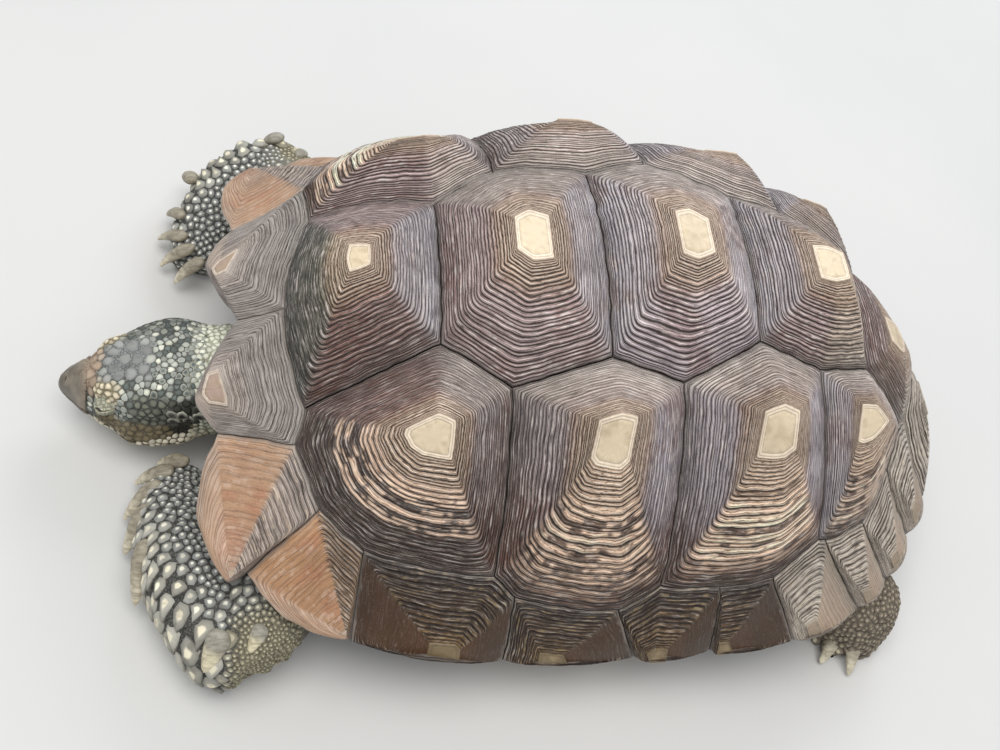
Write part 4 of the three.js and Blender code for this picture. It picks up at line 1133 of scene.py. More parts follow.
def sculpt_head(o):
    mesh = o.data
    co = places(mesh)
    n = normals_of(mesh)
    for side in (-1, 1):
        brow = falloff(co, head_place(-15.9, side * 5.0, -9.3), (2.6, 1.6, 1.7))
        co += n * (brow * 0.0038)[:, None]
        for along, out, up, reach, lift in (
                (-9.5, 7.0, -12.5, (3.6, 1.5, 1.2), -0.0022), (-9.8, 7.2, -16.8, (4.2, 1.8, 1.3), 0.0042),
                (-4.6, 7.4, -16.8, (2.4, 1.8, 1.2), 0.0030),
                (-5.6, 7.2, -14.2, (1.7, 1.6, 1.25), -0.0014),
                (-20.9, 0.8, -13.9, (0.45, 0.35, 0.4), -0.0012),
                (-18.2, 3.9, -12.4, (1.3, 1.2, 1.6), -0.0010), (-12.6, 4.6, -8.9, (1.4, 1.2, 1.2), -0.0012)):
            co += n * (falloff(co, head_place(along, side * out, up), reach) * lift)[:, None]
    crown = falloff(co, head_place(-13.5, -0.3, -7.6), (3.0, 2.0, 1.5))
    co -= n * (crown * 0.0016)[:, None]
    m = marks_of(co)
    in_head = smooth(-m[:, 0], 2.5, 4.0)
    mouth = np.exp(-((m[:, 2] + 16.6 + 0.10 * np.clip(m[:, 0] + 12, 0, 9)) / 0.26) ** 2)
    mouth = mouth * smooth(-m[:, 0], 8.2, 9.4)
    co -= n * (mouth * in_head * 0.0016)[:, None]
    set_places(mesh, shape_head(co))


def sculpt_eyes(o):
    """Lids: the skin swells over each eye and opens in a narrow slit, widest in front."""
    mesh = o.data
    co = places(mesh)
    ball = EYE_RADIUS + LID
    for middle, out, forward, up in eye_frames():
        d = co - middle
        a, b, h = d @ forward, d @ up, d @ out
        across = np.hypot(a, b)
        here = h > -0.006
        cap = np.sqrt(ball ** 2 - np.minimum(across, ball * 0.94) ** 2)
        gap = lid_gap(a, b)
        rim = 0.0004 * np.exp(-((gap - 0.0006) / 0.0004) ** 2)
        wrinkle = 0.00007 * np.sin(gap * 5200) * smooth(gap, 0.0009, 0.0018)
        goal = cap + rim + wrinkle - 0.0030 * (1 - smooth(gap, -0.0001, 0.0004))
        share = (1 - smooth(across, ball * 0.74, ball * 1.14)) * here
        hollow = 0.0009 * np.exp(-((across - ball * 1.16) / 0.0010) ** 2) * here
        co += out * ((goal - h) * share - hollow)[:, None]
    set_places(mesh, co)


def tuck_claws(o):
    """Draws the skin back from the frame's claws; horn ones take their place."""
    mesh = o.data
    co = places(mesh)
    for toes in TOES.values():
        for mark in toes:
            root, tip = (SHELL_ORIGIN + (np.array(end) + (0, 0, NOTCH_HEIGHT)) * UNIT
                         for end in (mark[:3], mark[3:]))
            axis = tip - root
            length = np.linalg.norm(axis)
            axis = axis / length
            d = co - root
            run = d @ axis
            off = np.linalg.norm(d - run[:, None] * axis, axis=1)
            beyond = np.clip(run + 0.0005, 0, None) * (run < length * 1.6)
            share = (1 - smooth(off, 0.0065, 0.0095)) * 0.75
            co -= axis * (beyond * share)[:, None] * (1, 1, 0)
    set_places(mesh, co)


def sculpt_folds(o):
    """Loose skin: folds round the neck, creases at the elbows, and slack behind the limbs."""
    mesh = o.data
    co = places(mesh)
    n = normals_of(mesh)
    m = marks_of(co)
    on_neck = smooth(m[:, 0], -4.2, -2.2) * (1 - smooth(m[:, 0], 9, 13)) * (np.abs(m[:, 1] - NECK_SIDE) < 9.5)
    phase = m[:, 0] * 1.9 + 1.6 * waves(co, 0.05, 11)
    fold = np.abs(np.sin(phase)) ** 0.6 - 0.6
    co += n * (fold * on_neck * 0.0016)[:, None]
    under = smooth(m[:, 0], 1.0, 5.0) * (np.abs(m[:, 1]) < 34) * (np.abs(n[:, 2]) < 0.9)
    sway = 0.5 * np.sin(m[:, 1] * 0.5)
    slack = np.abs(np.sin(m[:, 2] * 1.5 + sway + 2.2 * waves(co, 0.05, 16))) ** 0.7 - 0.55
    co += n * (slack * under * 0.0022)[:, None]
    length = np.sin(np.arctan2(m[:, 2] + 12.7, m[:, 1] - NECK_SIDE) * 9 + 2 * waves(co, 0.06, 12))
    co += n * (length * on_neck * 0.0006)[:, None]
    for node, centre in (("foreleg_left", (3.5, -38.5, -15.5)), ("foreleg_right", (7.0, 41.5, -15.5))):
        middle = SHELL_ORIGIN + np.array([centre[0] + 4, centre[1], centre[2] + NOTCH_HEIGHT]) * UNIT
        near = falloff(co, middle, (5, 6, 7))
        lines = np.sin((m[:, 0] * 0.6 + m[:, 1] * 0.35 + m[:, 2] * 0.9) * 2.4 + 2 * waves(co, 0.03, 13))
        co += n * (lines * near * 0.0010)[:, None]
    on_tail = smooth(m[:, 0], 88, 93) * (np.abs(m[:, 1] - 1.5) < 7)
    co += n * (np.sin(m[:, 0] * 2.6 + 1.2 * waves(co, 0.03, 14)) * on_tail * 0.0006)[:, None]
    limbs = in_boxes(co, FLESH[4:], 0.002)
    co += n * (waves(co, 0.017, 15) * limbs * 0.0007)[:, None]
    set_places(mesh, co)


def skin_colours(co):
    """The skin's markings, with painted shade where the neck goes in under the shell; the scales carry the
    same ones.
    """
    m = marks_of(co)
    x, z = m[:, 0], m[:, 2]
    y = np.abs(m[:, 1] - HEAD_SIDE)
    cloud = waves(co, 0.028, 21)
    fine = waves(co, 0.007, 22)
    colour = np.broadcast_to(rgb(72, 68, 62), co.shape).copy()

    def lay(tone, share):
        nonlocal colour
        colour = blend(colour, tone, np.clip(share, 0, 1)[:, None])

    forward = smooth(-x, -26, -18) * smooth(np.abs(m[:, 1]), 9.5, 12)
    lay(rgb(72, 72, 70), forward)
    lay(rgb(140, 132, 110), forward * smooth(x, 1.5, 5.0) * smooth(np.abs(m[:, 1]), 34, 38))
    lay(rgb(104, 94, 82), smooth(x, 60, 72))
    on_neck = smooth(x, -4.4, -2.8) * (1 - smooth(y + 1.2 * cloud, 7.6, 9.8)) * (1 - smooth(x, 5.0, 10.0))
    lay(rgb(204, 206, 184), on_neck)
    lay(rgb(150, 138, 112), on_neck * smooth(-z, 13.5, 17))
    # Painted shade: the neck darkens toward the back, where it goes in under the shell.
    lay(rgb(112, 106, 88), on_neck * smooth(x, 2, 9) * 0.7)
    head = smooth(-x, 2.6, 4.4) * (y < 9.8)
    lay(rgb(86, 88, 82), head)
    lay(rgb(150, 150, 132), head * (1 - smooth(-x, 4.2, 6.0)) * smooth(z, -10, -8))
    lay(rgb(124, 126, 126), head * smooth(-x, 8.5, 11) * smooth(z, -10.5, -8.5) * (1 - smooth(y, 2.6, 3.6)))
    lay(rgb(164, 142, 122), head * smooth(-x, 16.2, 17.4) * smooth(z, -13, -11) * (1 - smooth(y, 3.2, 4.4)))
    lay(rgb(112, 102, 80), head * smooth(y, 4.4, 5.6) * smooth(-z, 12.5, 13.8) * smooth(-x, 6.2, 8.0))
    lay(rgb(188, 178, 150), head * smooth(-z, 16.9, 18.2))
    lay(rgb(40, 37, 34), head * falloff(co, head_place(-5.6, 7.4, -14.2), (1.6, 3, 1.2)) * 1.6)
    lay(rgb(40, 37, 34), head * falloff(co, head_place(-5.6, -7.4, -14.2), (1.6, 3, 1.2)) * 1.6)
    for place in BROWS:
        brow = falloff(co, head_place(*place), BROW_REACH)
        lay(rgb(150, 138, 112), head * smooth(brow, 0.28, 0.5))
    for middle, out, forward_way, up in eye_frames():
        d = co - middle
        a, b = d @ forward_way, d @ up
        gap = lid_gap(a, b)
        across = np.hypot(a, b) / (EYE_RADIUS + LID)
        on = (d @ out > -0.001) * (1 - smooth(across, 0.98, 1.15))
        lay(rgb(172, 172, 152), on)
        lay(rgb(206, 202, 178), on * np.exp(-((gap - 0.0007) / 0.0004) ** 2))
        lay(rgb(44, 36, 31), on * (1 - smooth(gap, 0.0000, 0.0003)))
    colour = colour * (1 + 0.16 * cloud + 0.12 * fine)[:, None]
    return np.clip(colour, DARKEST, 1)


def flatten_soles(co):
    """Soles rest level on the floor."""
    low = co[:, 2] < SOLE
    rounded = blend(0.0004, SOLE, (co[low, 2] / SOLE - 0.72) / 0.28)
    co[low, 2] = np.where(co[low, 2] < SOLE * 0.72, 0.0004, rounded)
    return co


def build_skin():
    """One skin over all the flesh, with no seam."""
    copies = [copied(node) for node in FLESH + BEAK]
    for o in copies:
        reach = 0.0007 if o.name != "copy_trunk" else 0.0004
        set_places(o.data, places(o.data) + normals_of(o.data) * reach)
    select(*copies)
    bpy.ops.object.join()
    skin = bpy.context.object
    even_out(skin, SKIN_VOXEL, 3)
    subdivide_where(skin, in_boxes(places(skin.data), FLESH[1:], 0.006), 3)
    subdivide_where(skin, in_boxes(places(skin.data), ("head",) + BEAK, 0.002), 3)
    sculpt_head(skin)
    for reach in (0.0125, 0.0085):
        co = places(skin.data)
        near_eyes = np.zeros(len(co), bool)
        for middle, *_ in eye_frames():
            near_eyes |= np.linalg.norm(co - middle, axis=1) < reach
        subdivide_where(skin, near_eyes, 1)
    tuck_claws(skin)
    co, n = places(skin.data), normals_of(skin.data)
    outside = in_boxes(co, FLESH[1:], 0.004)
    co -= n * (COAT * np.where(outside, 1.0, 0.3))[:, None]
    set_places(skin.data, co)
    sculpt_eyes(skin)
    sculpt_folds(skin)
    set_places(skin.data, flatten_soles(places(skin.data)))
    set_tint(skin.data, skin_colours(places(skin.data)))
    return skin


# ---------------------------------------------------------------- scales
def skin_tree(skin):
    mesh = skin.data
    mesh.calc_loop_triangles()
    tris = read(mesh.loop_triangles, "vertices", 3, np.int32)
    co = places(mesh)
    tree = BVHTree.FromPolygons(co.tolist(), tris.tolist())
    return co, tris, normals_of(mesh), tree


def scatter(co, tris, normals, chosen, size_at, seed, first=()):
    """Roots for scales, each about its own size from the next. Larger ones are set first."""
    rng = np.random.default_rng(seed)
    tris = tris[chosen[tris].all(1)]
    a, b, c = co[tris[:, 0]], co[tris[:, 1]], co[tris[:, 2]]
    area = np.linalg.norm(np.cross(b - a, c - a), axis=1) / 2
    middle_size = size_at((a + b + c) / 3, unit_rows(normals[tris].sum(1)))
    density = area / np.maximum(middle_size, 0.0012) ** 2 * (7 + 12 * smooth(middle_size, 0.003, 0.006))
    count = int(density.sum())
    pick = np.searchsorted(np.cumsum(density), rng.uniform(0, density.sum(), count))
    pick = np.minimum(pick, len(tris) - 1)
    u, v = rng.random(count), rng.random(count)
    flip = u + v > 1
    u[flip], v[flip] = 1 - u[flip], 1 - v[flip]
    w = np.stack([1 - u - v, u, v], 1)[..., None]
    p = (co[tris[pick]] * w).sum(1)
    n = unit_rows((normals[tris[pick]] * w).sum(1))
    size = size_at(p, n) * rng.uniform(0.86, 1.12, count)
    for place, normal, own in first:
        p, n, size = np.vstack([p, place]), np.vstack([n, normal]), np.append(size, own)
    order = np.argsort(-size, kind="stable")
    cell = 0.0035
    taken, kept = {}, []
    for i in order:
        q, own = p[i], size[i]
        key = (int(q[0] // cell), int(q[1] // cell), int(q[2] // cell))
        apart = ((q - p[j], 0.5 * (own + size[j])) for j in taken.get(key, ()))
        if any(d @ d < least ** 2 for d, least in apart):
            continue
        kept.append(i)
        low = ((q - own) // cell).astype(int)
        high = ((q + own) // cell).astype(int)
        for ix in range(low[0], high[0] + 1):
            for iy in range(low[1], high[1] + 1):
                for iz in range(low[2], high[2] + 1):
                    taken.setdefault((ix, iy, iz), []).append(i)
    kept = np.array(kept)
    return p[kept], n[kept], size[kept]


def cell_reach(p, n, size, lie, side, angles):
    """How far each scale reaches in each direction before it meets its neighbours."""
    tree = KDTree(len(p))
    for i, q in enumerate(p):
        tree.insert(q, i)
    tree.balance()
    near = 12
    others = np.zeros((len(p), near), int)
    for i, q in enumerate(p):
        found = tree.find_n(q, near + 1)
        others[i] = ([j for _, j, _ in found if j != i] + [i] * near)[:near]
    d = p[others] - p[:, None]
    u = (d * lie[:, None]).sum(-1)
    v = (d * side[:, None]).sum(-1)
    length = np.hypot(u, v)
    share = size[:, None] / (size[:, None] + size[others])
    edge = np.maximum(length * share, 1e-5)
    bearing = np.arctan2(v, u)
    cosine = np.cos(angles[None, None, :] - bearing[..., None])
    limit = np.where(cosine > 0.2, edge[..., None] / np.maximum(cosine, 0.2), 1.0)
    limit = np.where((length > 1e-6)[..., None], limit, 1.0)
    return np.minimum(limit.min(1), size[:, None] * 0.88)


# Rings of a scale from its crown outward: share of its width, height, share of edge colour, brightness.
ROUND_SCALE = (
    (0.34, 0.98, 0.0, 1.0), (0.66, 0.80, 0.35, 1.0), (0.92, 0.34, 1.0, 0.95), (1.0, -0.30, 1.0, 0.55))
BUTTON_SCALE = (
    (0.27, 1.0, 0.05, 1.0), (0.43, 0.90, 0.95, 1.0), (0.90, 0.34, 1.0, 0.92), (1.0, -0.30, 1.0, 0.5))


def build_scales(name, roots, coat, segments, seed, levels):
    """Solid scales on their roots. A coat's style gives height, overlap, point, edge and crown colours."""
    rng = np.random.default_rng(seed)
    p, n, size = roots
    lie = np.array(coat["lie"])
    lie = unit_rows(lie - n * (lie * n).sum(1)[:, None])
    side = np.cross(n, lie)
    angles = np.arange(segments) * 2 * math.pi / segments
    reach = cell_reach(p, n, size, lie, side, angles) * 0.97
    reach *= 1 + 0.04 * rng.normal(size=reach.shape)
    height, overlap, point, edge_tone, crown_tone = coat["style_at"](p, n, size, rng)
    count = len(p)
    x_dir, y_dir = np.cos(angles), np.sin(angles)
    forward = np.clip(x_dir, 0, 1)
    parts, tones = [], []
    radius = reach.mean(1)
    for share, lift, rim_share, dusk in levels:
        x = reach * x_dir * share * (1 + overlap[:, None] * forward * 0.6)
        y = reach * y_dir * share
        y = y * (1 - point[:, None] * np.clip(x / np.maximum(radius[:, None], 1e-6), 0, 1) * 0.5)
        sag = (x * x + y * y) / 0.05
        h = height[:, None] * lift + overlap[:, None] * np.clip(x, 0, None) * 0.28 * (lift > -0.1) - sag
        h = h + (overlap[:, None] * np.clip(x, 0, None) * 0.16 if lift < 0 else 0)
        in_plane = p[:, None] + lie[:, None] * x[..., None] + side[:, None] * y[..., None]
        q = in_plane + n[:, None] * h[..., None]
        parts.append(q)
        tone = blend(crown_tone[:, None], edge_tone[:, None], rim_share) * dusk
        tones.append(np.broadcast_to(tone, q.shape))
    crown = p + n * (height * 1.06)[:, None] + lie * (size * 0.04)[:, None]
    root = p - n * (height * 0.3 + 0.0002)[:, None]
    grid = np.concatenate([crown[:, None], *parts, root[:, None]], 1)
    tones = np.concatenate([crown_tone[:, None], *tones, edge_tone[:, None]], 1)
    per = grid.shape[1]
    faces = []
    for k in range(segments):
        j = (k + 1) % segments
        faces.append((0, 1 + k, 1 + j))
        for level in range(len(levels) - 1):
            a = 1 + level * segments
            faces.append((a + k, a + segments + k, a + segments + j, a + j))
        a = 1 + (len(levels) - 1) * segments
        faces.append((a + j, a + k, per - 1))
    mesh = bpy.data.meshes.new(name)
    first = np.arange(count)[:, None] * per
    polygons = [row for face in faces for row in (first + np.array(face)).tolist()]
    mesh.from_pydata(grid.reshape(-1, 3).tolist(), [], polygons)
    o = bpy.data.objects.new(name, mesh)
    bpy.context.scene.collection.objects.link(o)
    set_tint(mesh, np.clip(tones, DARKEST, 1))
    home = coat["unwrap"](p)
    spread = np.zeros((per, 2))
    for level, (share, *_) in enumerate(levels):
        ring = slice(1 + level * segments, 1 + (level + 1) * segments)
        spread[ring] = np.stack([x_dir, y_dir], 1) * share * 0.0014
    patch = (home[:, None] + spread[None]).reshape(-1, 2)
    set_map(mesh, "OFBake", patch[corner_vertices(mesh)])
    return o


# ---------------------------------------------------------------- claws and spurs
# Roots and tips of the frame's claws, in units: along, across (left negative), up.
HIND_TOES = (
    (83.4, 26.4, -21.2, 80.6, 26.2, -22.5), (83.8, 29.8, -21.2, 81.4, 31.0, -22.5),
    (85.4, 32.6, -21.2, 83.8, 34.9, -22.5), (88.2, 33.9, -21.2, 87.8, 36.6, -22.5))
TOES = {
    "fore_left": (
        (-6.6, -10.6, -21.0, -7.6, -7.8, -22.3), (-8.2, -12.6, -21.0, -10.7, -11.0, -22.4),
        (-9.0, -15.9, -21.0, -12.0, -15.4, -22.4), (-9.2, -19.4, -20.9, -11.8, -20.2, -22.4),
        (-8.7, -22.9, -20.8, -10.3, -25.0, -22.4)),
    "fore_right": (
        (-6.8, 21.6, -21.0, -7.8, 18.9, -22.3), (-8.1, 23.9, -21.0, -10.2, 22.0, -22.4),
        (-8.7, 27.0, -21.0, -11.2, 26.6, -22.4), (-8.4, 30.3, -20.9, -10.6, 31.2, -22.4),
        (-7.4, 33.2, -20.8, -8.8, 35.4, -22.4)),
    "hind_left": tuple((a, -b, c, d, -e, f) for a, b, c, d, e, f in HIND_TOES),
    "hind_right": HIND_TOES,
}
CLAW_RADIUS, CLAW_COLUMNS = 0.0049, 24
# Where each horn claw roots and ends, from the root of the frame's own claw: along, outward, up, in units.
FORE_CLAWS = (
    ((0.9, 0.4, 3.0), (-1.9, -0.8, 0.0)), ((0.5, 0.4, 3.2), (-2.9, 0.2, -0.4)),
    ((0.0, 0.0, 3.2), (-3.0, 2.2, -0.4)),
    ((-0.5, 0.6, 3.5), (-2.2, 3.7, -0.4)), ((-0.2, 3.4, 5.2), (-0.7, 7.6, 0.7)))
HIND_CLAWS = (
    ((0.8, -0.2, 1.3), (-2.6, 0.3, -1.2)), ((0.8, -0.2, 1.3), (-2.3, 1.7, -1.2)),
    ((0.6, -0.6, 1.3), (-1.4, 2.6, -1.2)),
    ((0.1, -0.8, 1.3), (-0.2, 3.0, -1.2)))


def build_horn_tip(root, tip, radius, flatness, curve, seed, sink=0.45, grain=1.0):
    """A curved horn point: a claw or a spur. It grows out of the skin and ends blunt."""
    axis = tip - root
    length = np.linalg.norm(axis)
    axis = axis / length
    sideways = unit_rows(np.cross((0, 0, 1.0), axis))
    up = np.cross(axis, sideways)
    s = np.concatenate([np.linspace(-sink, 0.9, 22), [0.95, 0.98, 1.0]])
    taper = np.where(s < 0, np.sqrt(np.clip(1 - (s / sink) ** 2, 0, 1)),
                     1 - 0.22 * s - 0.56 * np.clip(s, 0, 1) ** 1.7)
    taper = taper * np.sqrt(np.clip(1 - smooth(s, 0.84, 1.002) ** 2 * 0.999, 0, 1))
    taper[0] = 1e-4
    angle = np.arange(CLAW_COLUMNS) * 2 * math.pi / CLAW_COLUMNS
    bend = curve * length * (1 - np.clip(s, -0.3, 1.0)) * np.clip(s + 0.3, 0, 2)
    middle = root + axis * (s * length)[:, None] + up * bend[:, None]
    ring = sideways * np.cos(angle)[:, None] + up * (np.sin(angle) * flatness)[:, None]
    rows = middle[:, None] + ring[None] * (taper * radius)[:, None, None]
    ridge = (waves(rows, 0.006, seed) * 0.00025 + np.sin(s * 30)[:, None] * 0.00006) * grain
    rows = rows + ring[None] * (ridge * (taper > 0.01)[:, None])[..., None]
    o = sheet_of(rows)
    share = smooth(s, 0.0, 0.9)[:, None, None]
    mottle = (1 + 0.16 * waves(rows, 0.005, seed + 1))[..., None]
    tone = blend(rgb(158, 150, 132), rgb(226, 217, 192), share) * mottle
    set_tint(o.data, wrapped(tone))
    close_up(o)
    return o


def claw_pieces(foot, radius):
    made = []
    side = -1 if foot.endswith("left") else 1
    claws = FORE_CLAWS if foot.startswith("fore") else HIND_CLAWS
    for i, (toe, (root, tip)) in enumerate(zip(TOES[foot], claws)):
        base = np.array(toe[:3]) + (0, 0, NOTCH_HEIGHT)
        root, tip = (SHELL_ORIGIN + (base + np.array(end) * (1, side, 1)) * UNIT for end in (root, tip))
        tip[2] = max(tip[2], radius * 0.45)
        made.append(build_horn_tip(root, tip, radius * (1.12 if i == 4 else 1.0), 0.7, 0.24, 300 + i))
    return made


# Each spur: share along the forearm, forward and up from its middle line in units; length, radius and way.
SPURS = (
    (0.975, -0.3, 6.0, 0.0130, 0.0046, (-0.35, 0.75, -0.45)),
    (0.955, 4.7, 5.0, 0.0200, 0.0066, (-0.30, 0.60, -0.70)),
)


def build_spur(name, side, mark, tree, tone, seed):
    """A pale pointed scale that lies along the skin of a forearm."""
    share, forward, up, length, radius, way = mark
    found, normal, _, _ = tree.find_nearest(Vector(limb_place(name, side, share, forward, up)))
    found, normal = np.array(found), np.array(normal)
    way = unit_rows(np.array([way[0], way[1] * side, way[2]]))
    way = unit_rows(way - normal * (way @ normal) * 0.8)
    root = found - normal * radius * 0.08
    o = build_horn_tip(root - way * length * 0.35, root + way * length * 0.65, radius, 0.62, 0.14, seed,
                       sink=0.3, grain=0.3)
    co = places(o.data)
    run = np.clip((co - root) @ way / length + 0.35, 0, 1)
    colour = blend(rgb(160, 156, 143), np.asarray(tone), smooth(run, 0.1, 0.5)[:, None])
    colour = colour * (1 + 0.12 * waves(co, 0.004, seed))[:, None]
    set_tint(o.data, np.clip(colour, DARKEST, 1))
    return o


# ---------------------------------------------------------------- soft materials
def skin_material():
    """Dry reptile skin: its own tint and small pebbled scales, darker in the hollows between them."""
    s = Shader("tortoise_skin")
    tint = s.node("ShaderNodeVertexColor", {"layer_name": "tint"})
    place = s.place()
    warped = s.shifted(place, s.noise(place, 160, 2, kind="Color"), 0.0022)
    pebble = s.node("ShaderNodeTexVoronoi", {"feature": "DISTANCE_TO_EDGE"}, {"Vector": warped, "Scale": 520})
    edge = Value(s, pebble.outputs["Distance"])
    cell = edge.ramp(0.0, 0.16)
    fine = s.noise(place, 1400, 3, 0.6)
    broad = s.noise(place, 60, 4, 0.6)
    colour = s.mix((1 - cell) * 0.55, tint.outputs["Color"], rgb(70, 62, 52), "MULTIPLY")
    colour = s.mix(cell * fine.ramp(0.45, 0.7) * 0.28, colour, rgb(196, 190, 172))
    colour = s.mix(broad.ramp(0.45, 0.75) * 0.3, colour, rgb(128, 118, 102), "OVERLAY")
    height = cell * 0.7 + fine * 0.3 + broad * 0.4
    s.set(Base_Color=colour, Roughness=0.62 + fine * 0.2, Normal=s.bump(height, 0.0006, 0.6), IOR=1.45)
    return s.material


def scale_material():
    """Horny scales: dark rims and pale worn crowns from their own tint, with fine grain."""
    s = Shader("tortoise_scales")
    tint = s.node("ShaderNodeVertexColor", {"layer_name": "tint"})
    place = s.place()
    fine = s.noise(place, 1100, 3, 0.65)
    broad = s.noise(place, 180, 3)
    colour = s.mix(fine.ramp(0.4, 0.72) * 0.3, tint.outputs["Color"], rgb(214, 206, 188), "SOFT_LIGHT")
    colour = s.mix(broad.ramp(0.48, 0.72) * 0.34, colour, rgb(112, 100, 84), "MULTIPLY")
    height = fine * 0.5 + broad * 0.6
    s.set(Base_Color=colour, Roughness=0.62 + fine * 0.2, Normal=s.bump(height, 0.0004, 0.5), IOR=1.45)
    return s.material


def claw_material():
    """Claws and spurs: worn horn with streaks along its own tint."""
    s = Shader("tortoise_claws")
    tint = s.node("ShaderNodeVertexColor", {"layer_name": "tint"})
    place = s.place()
    streak = s.noise(s.scaled(place, (90, 420, 420)), 1.0, 4, 0.65)
    dirt = s.noise(place, 240, 3)
    colour = s.mix(streak.ramp(0.4, 0.66) * 0.45, tint.outputs["Color"], rgb(122, 106, 84), "MULTIPLY")
    colour = s.mix(dirt.ramp(0.5, 0.72) * 0.3, colour, rgb(140, 132, 116))
    s.set(Base_Color=colour, Roughness=0.42 + streak * 0.2,
          Normal=s.bump(streak * 0.7 + dirt * 0.3, 0.0005, 0.5))
    return s.material


def beak_material():
    """The beak: smooth grey-brown horn, darker at its cutting edge, where painted shade marks the mouth."""
    s = Shader("tortoise_beak")
    place = s.place()
    height_up = Value(s, s.node("ShaderNodeSeparateXYZ", inputs={0: place}).outputs[2])
    streak = s.noise(s.scaled(place, (160, 160, 40)), 1.0, 4, 0.6)
    cloud = s.noise(place, 90, 4)
    worn = s.noise(place, 700, 3, 0.7)
    along = Value(s, s.node("ShaderNodeSeparateXYZ", inputs={0: place}).outputs[0])
    colour = s.mix(cloud.ramp(0.35, 0.7), rgb(98, 92, 82), rgb(136, 126, 110))
    colour = s.mix(along.ramp(BEAK_TIP + 0.008, BEAK_TIP + 0.018) * 0.55, colour, rgb(158, 142, 122))
    colour = s.mix(streak.ramp(0.45, 0.7) * 0.5, colour, rgb(84, 72, 60))
    # Painted shade along the mouth: darker from 4 mm above the mouth line down, over the whole lower beak.
    colour = s.mix(height_up.ramp(MOUTH_HEIGHT + 0.004, MOUTH_HEIGHT - 0.001) * 0.45, colour, rgb(66, 54, 44))
    colour = s.mix(worn.ramp(0.56, 0.75) * 0.25, colour, rgb(170, 160, 142))
    s.set(Base_Color=colour, Roughness=0.36 + cloud * 0.2,
          Normal=s.bump(streak * 0.5 + worn * 0.4, 0.0004, 0.45))
    return s.material


def eye_material():
    """A dark moist eye with a brown ring round the pupil."""
    s = Shader("tortoise_eye")
    tint = s.node("ShaderNodeVertexColor", {"layer_name": "tint"})
    fleck = s.noise(s.place(), 900, 3)
    colour = s.mix(fleck.ramp(0.4, 0.7) * 0.5, tint.outputs["Color"], rgb(70, 46, 26))
    s.set(Base_Color=colour, Roughness=0.08 + fleck * 0.04, Normal=s.bump(fleck, 0.0001, 0.2),
          Coat_Weight=0.6,
          Coat_Roughness=0.03)
    return s.material


def build_eye(middle, out):
    deselect()
    bpy.ops.mesh.primitive_uv_sphere_add(
        segments=48, ring_count=32, radius=EYE_RADIUS, location=tuple(middle))
    o = bpy.context.object
    bpy.ops.object.transform_apply(location=True, rotation=True, scale=True)
    co = places(o.data)
    d = unit_rows(co - middle)
    facing = d @ out
    bulge = np.exp(-((1 - facing) / 0.12) ** 2)
    set_places(o.data, co + d * (bulge * 0.0004)[:, None])
    tone = blend(rgb(58, 40, 26), rgb(12, 10, 9), smooth(facing, 0.80, 0.90)[:, None])
    tone = blend(rgb(30, 24, 20), tone, smooth(facing, 0.45, 0.62)[:, None])
    set_tint(o.data, tone)
    return o


def build_beak(node):
    """Half of the beak, rounded from the frame's shape."""
    o = copied(node)
    even_out(o, BEAK_VOXEL, 9)
    co, n = places(o.data), normals_of(o.data)
    m = marks_of(co)
    y = m[:, 1] - HEAD_SIDE
    co += n * 0.0004
    rear = m[:, 0] + 0.5 * waves(co, 0.006, 31)
    co -= n * (0.0032 * smooth(rear, -18.8, -17.2) ** 1.5)[:, None]
    for side in (-1, 1):
        nostril = falloff(co, head_place(-20.9, side * 1.0, -13.6), (0.5, 0.4, 0.4))
        co -= n * (nostril * 0.0022)[:, None]
    if node == "beak_upper":
        hook = smooth(-m[:, 0], 20.2, 21.6) * np.exp(-(y / 0.9) ** 2) * smooth(-m[:, 2], 15.2, 16.4)
        co[:, 2] -= hook * 0.0016
        teeth = np.sin(m[:, 0] * 6.0) * smooth(-m[:, 2], 16.0, 16.5)
        co[:, 2] += teeth * 0.00025
    set_places(o.data, shape_head(co))
    return o


# ---------------------------------------------------------------- stage
CAMERA_PLACE = (-0.1901, -0.4087, 0.6487)
CAMERA_AIM = (0.2367, 0.5516, -0.7999)
CAMERA_RIGHT = (0.9686, -0.0697, 0.2386)


def build_camera():
    data = bpy.data.cameras.new("camera")
    data.lens = 43.2
    data.sensor_width = 36.0
    data.clip_start = 0.01
    camera = bpy.data.objects.new("camera", data)
    bpy.context.scene.collection.objects.link(camera)
    aim = unit_rows(np.array(CAMERA_AIM))
    right = unit_rows(np.array(CAMERA_RIGHT) - aim * (aim @ np.array(CAMERA_RIGHT)))
    up = np.cross(right, aim)
    turn = Matrix(np.column_stack([right, up, -aim]).tolist()).to_4x4()
    camera.matrix_world = Matrix.Translation(CAMERA_PLACE) @ turn
    bpy.context.scene.camera = camera
    return camera


LIGHT_AIM = (0.0, 0.0, 0.05)


def soft_light(name, place, size, power, tone):
    data = bpy.data.lights.new(name, "AREA")
    data.shape = "RECTANGLE"
    data.size, data.size_y = size
    data.energy = power
    data.color = tone
    o = bpy.data.objects.new(name, data)
    bpy.context.scene.collection.objects.link(o)
    o.location = place
    o.rotation_euler = (Vector(LIGHT_AIM) - Vector(place)).to_track_quat("-Z", "Y").to_euler()
    return o


def floor_material():
    s = Shader("studio_floor")
    place = s.place()
    cloud = s.noise(place, 3.0, 3)
    grain = s.noise(place, 120, 3)
    colour = s.mix(cloud.ramp(0.3, 0.7), rgb(209, 209, 207), rgb(213, 212, 210))
    s.set(Base_Color=colour, Roughness=0.75 + grain * 0.15, Normal=s.bump(grain, 0.0005, 0.1))
    return s.material


# ---------------------------------------------------------------- the coat of scales
# A coat is a dictionary: which skin it covers (chosen), the scales' sizes (size_at), finish (style_at) and
# way (lie), and how their places unroll for baking (unwrap).
def unrolled(up, across, share):
    """A flat place from an angle round a limb and a share along it."""
    angle = np.arctan2(up, across) / (2 * math.pi) + 0.5
    return np.stack([0.02 + 0.96 * angle, 0.02 + 0.96 * share], 1)


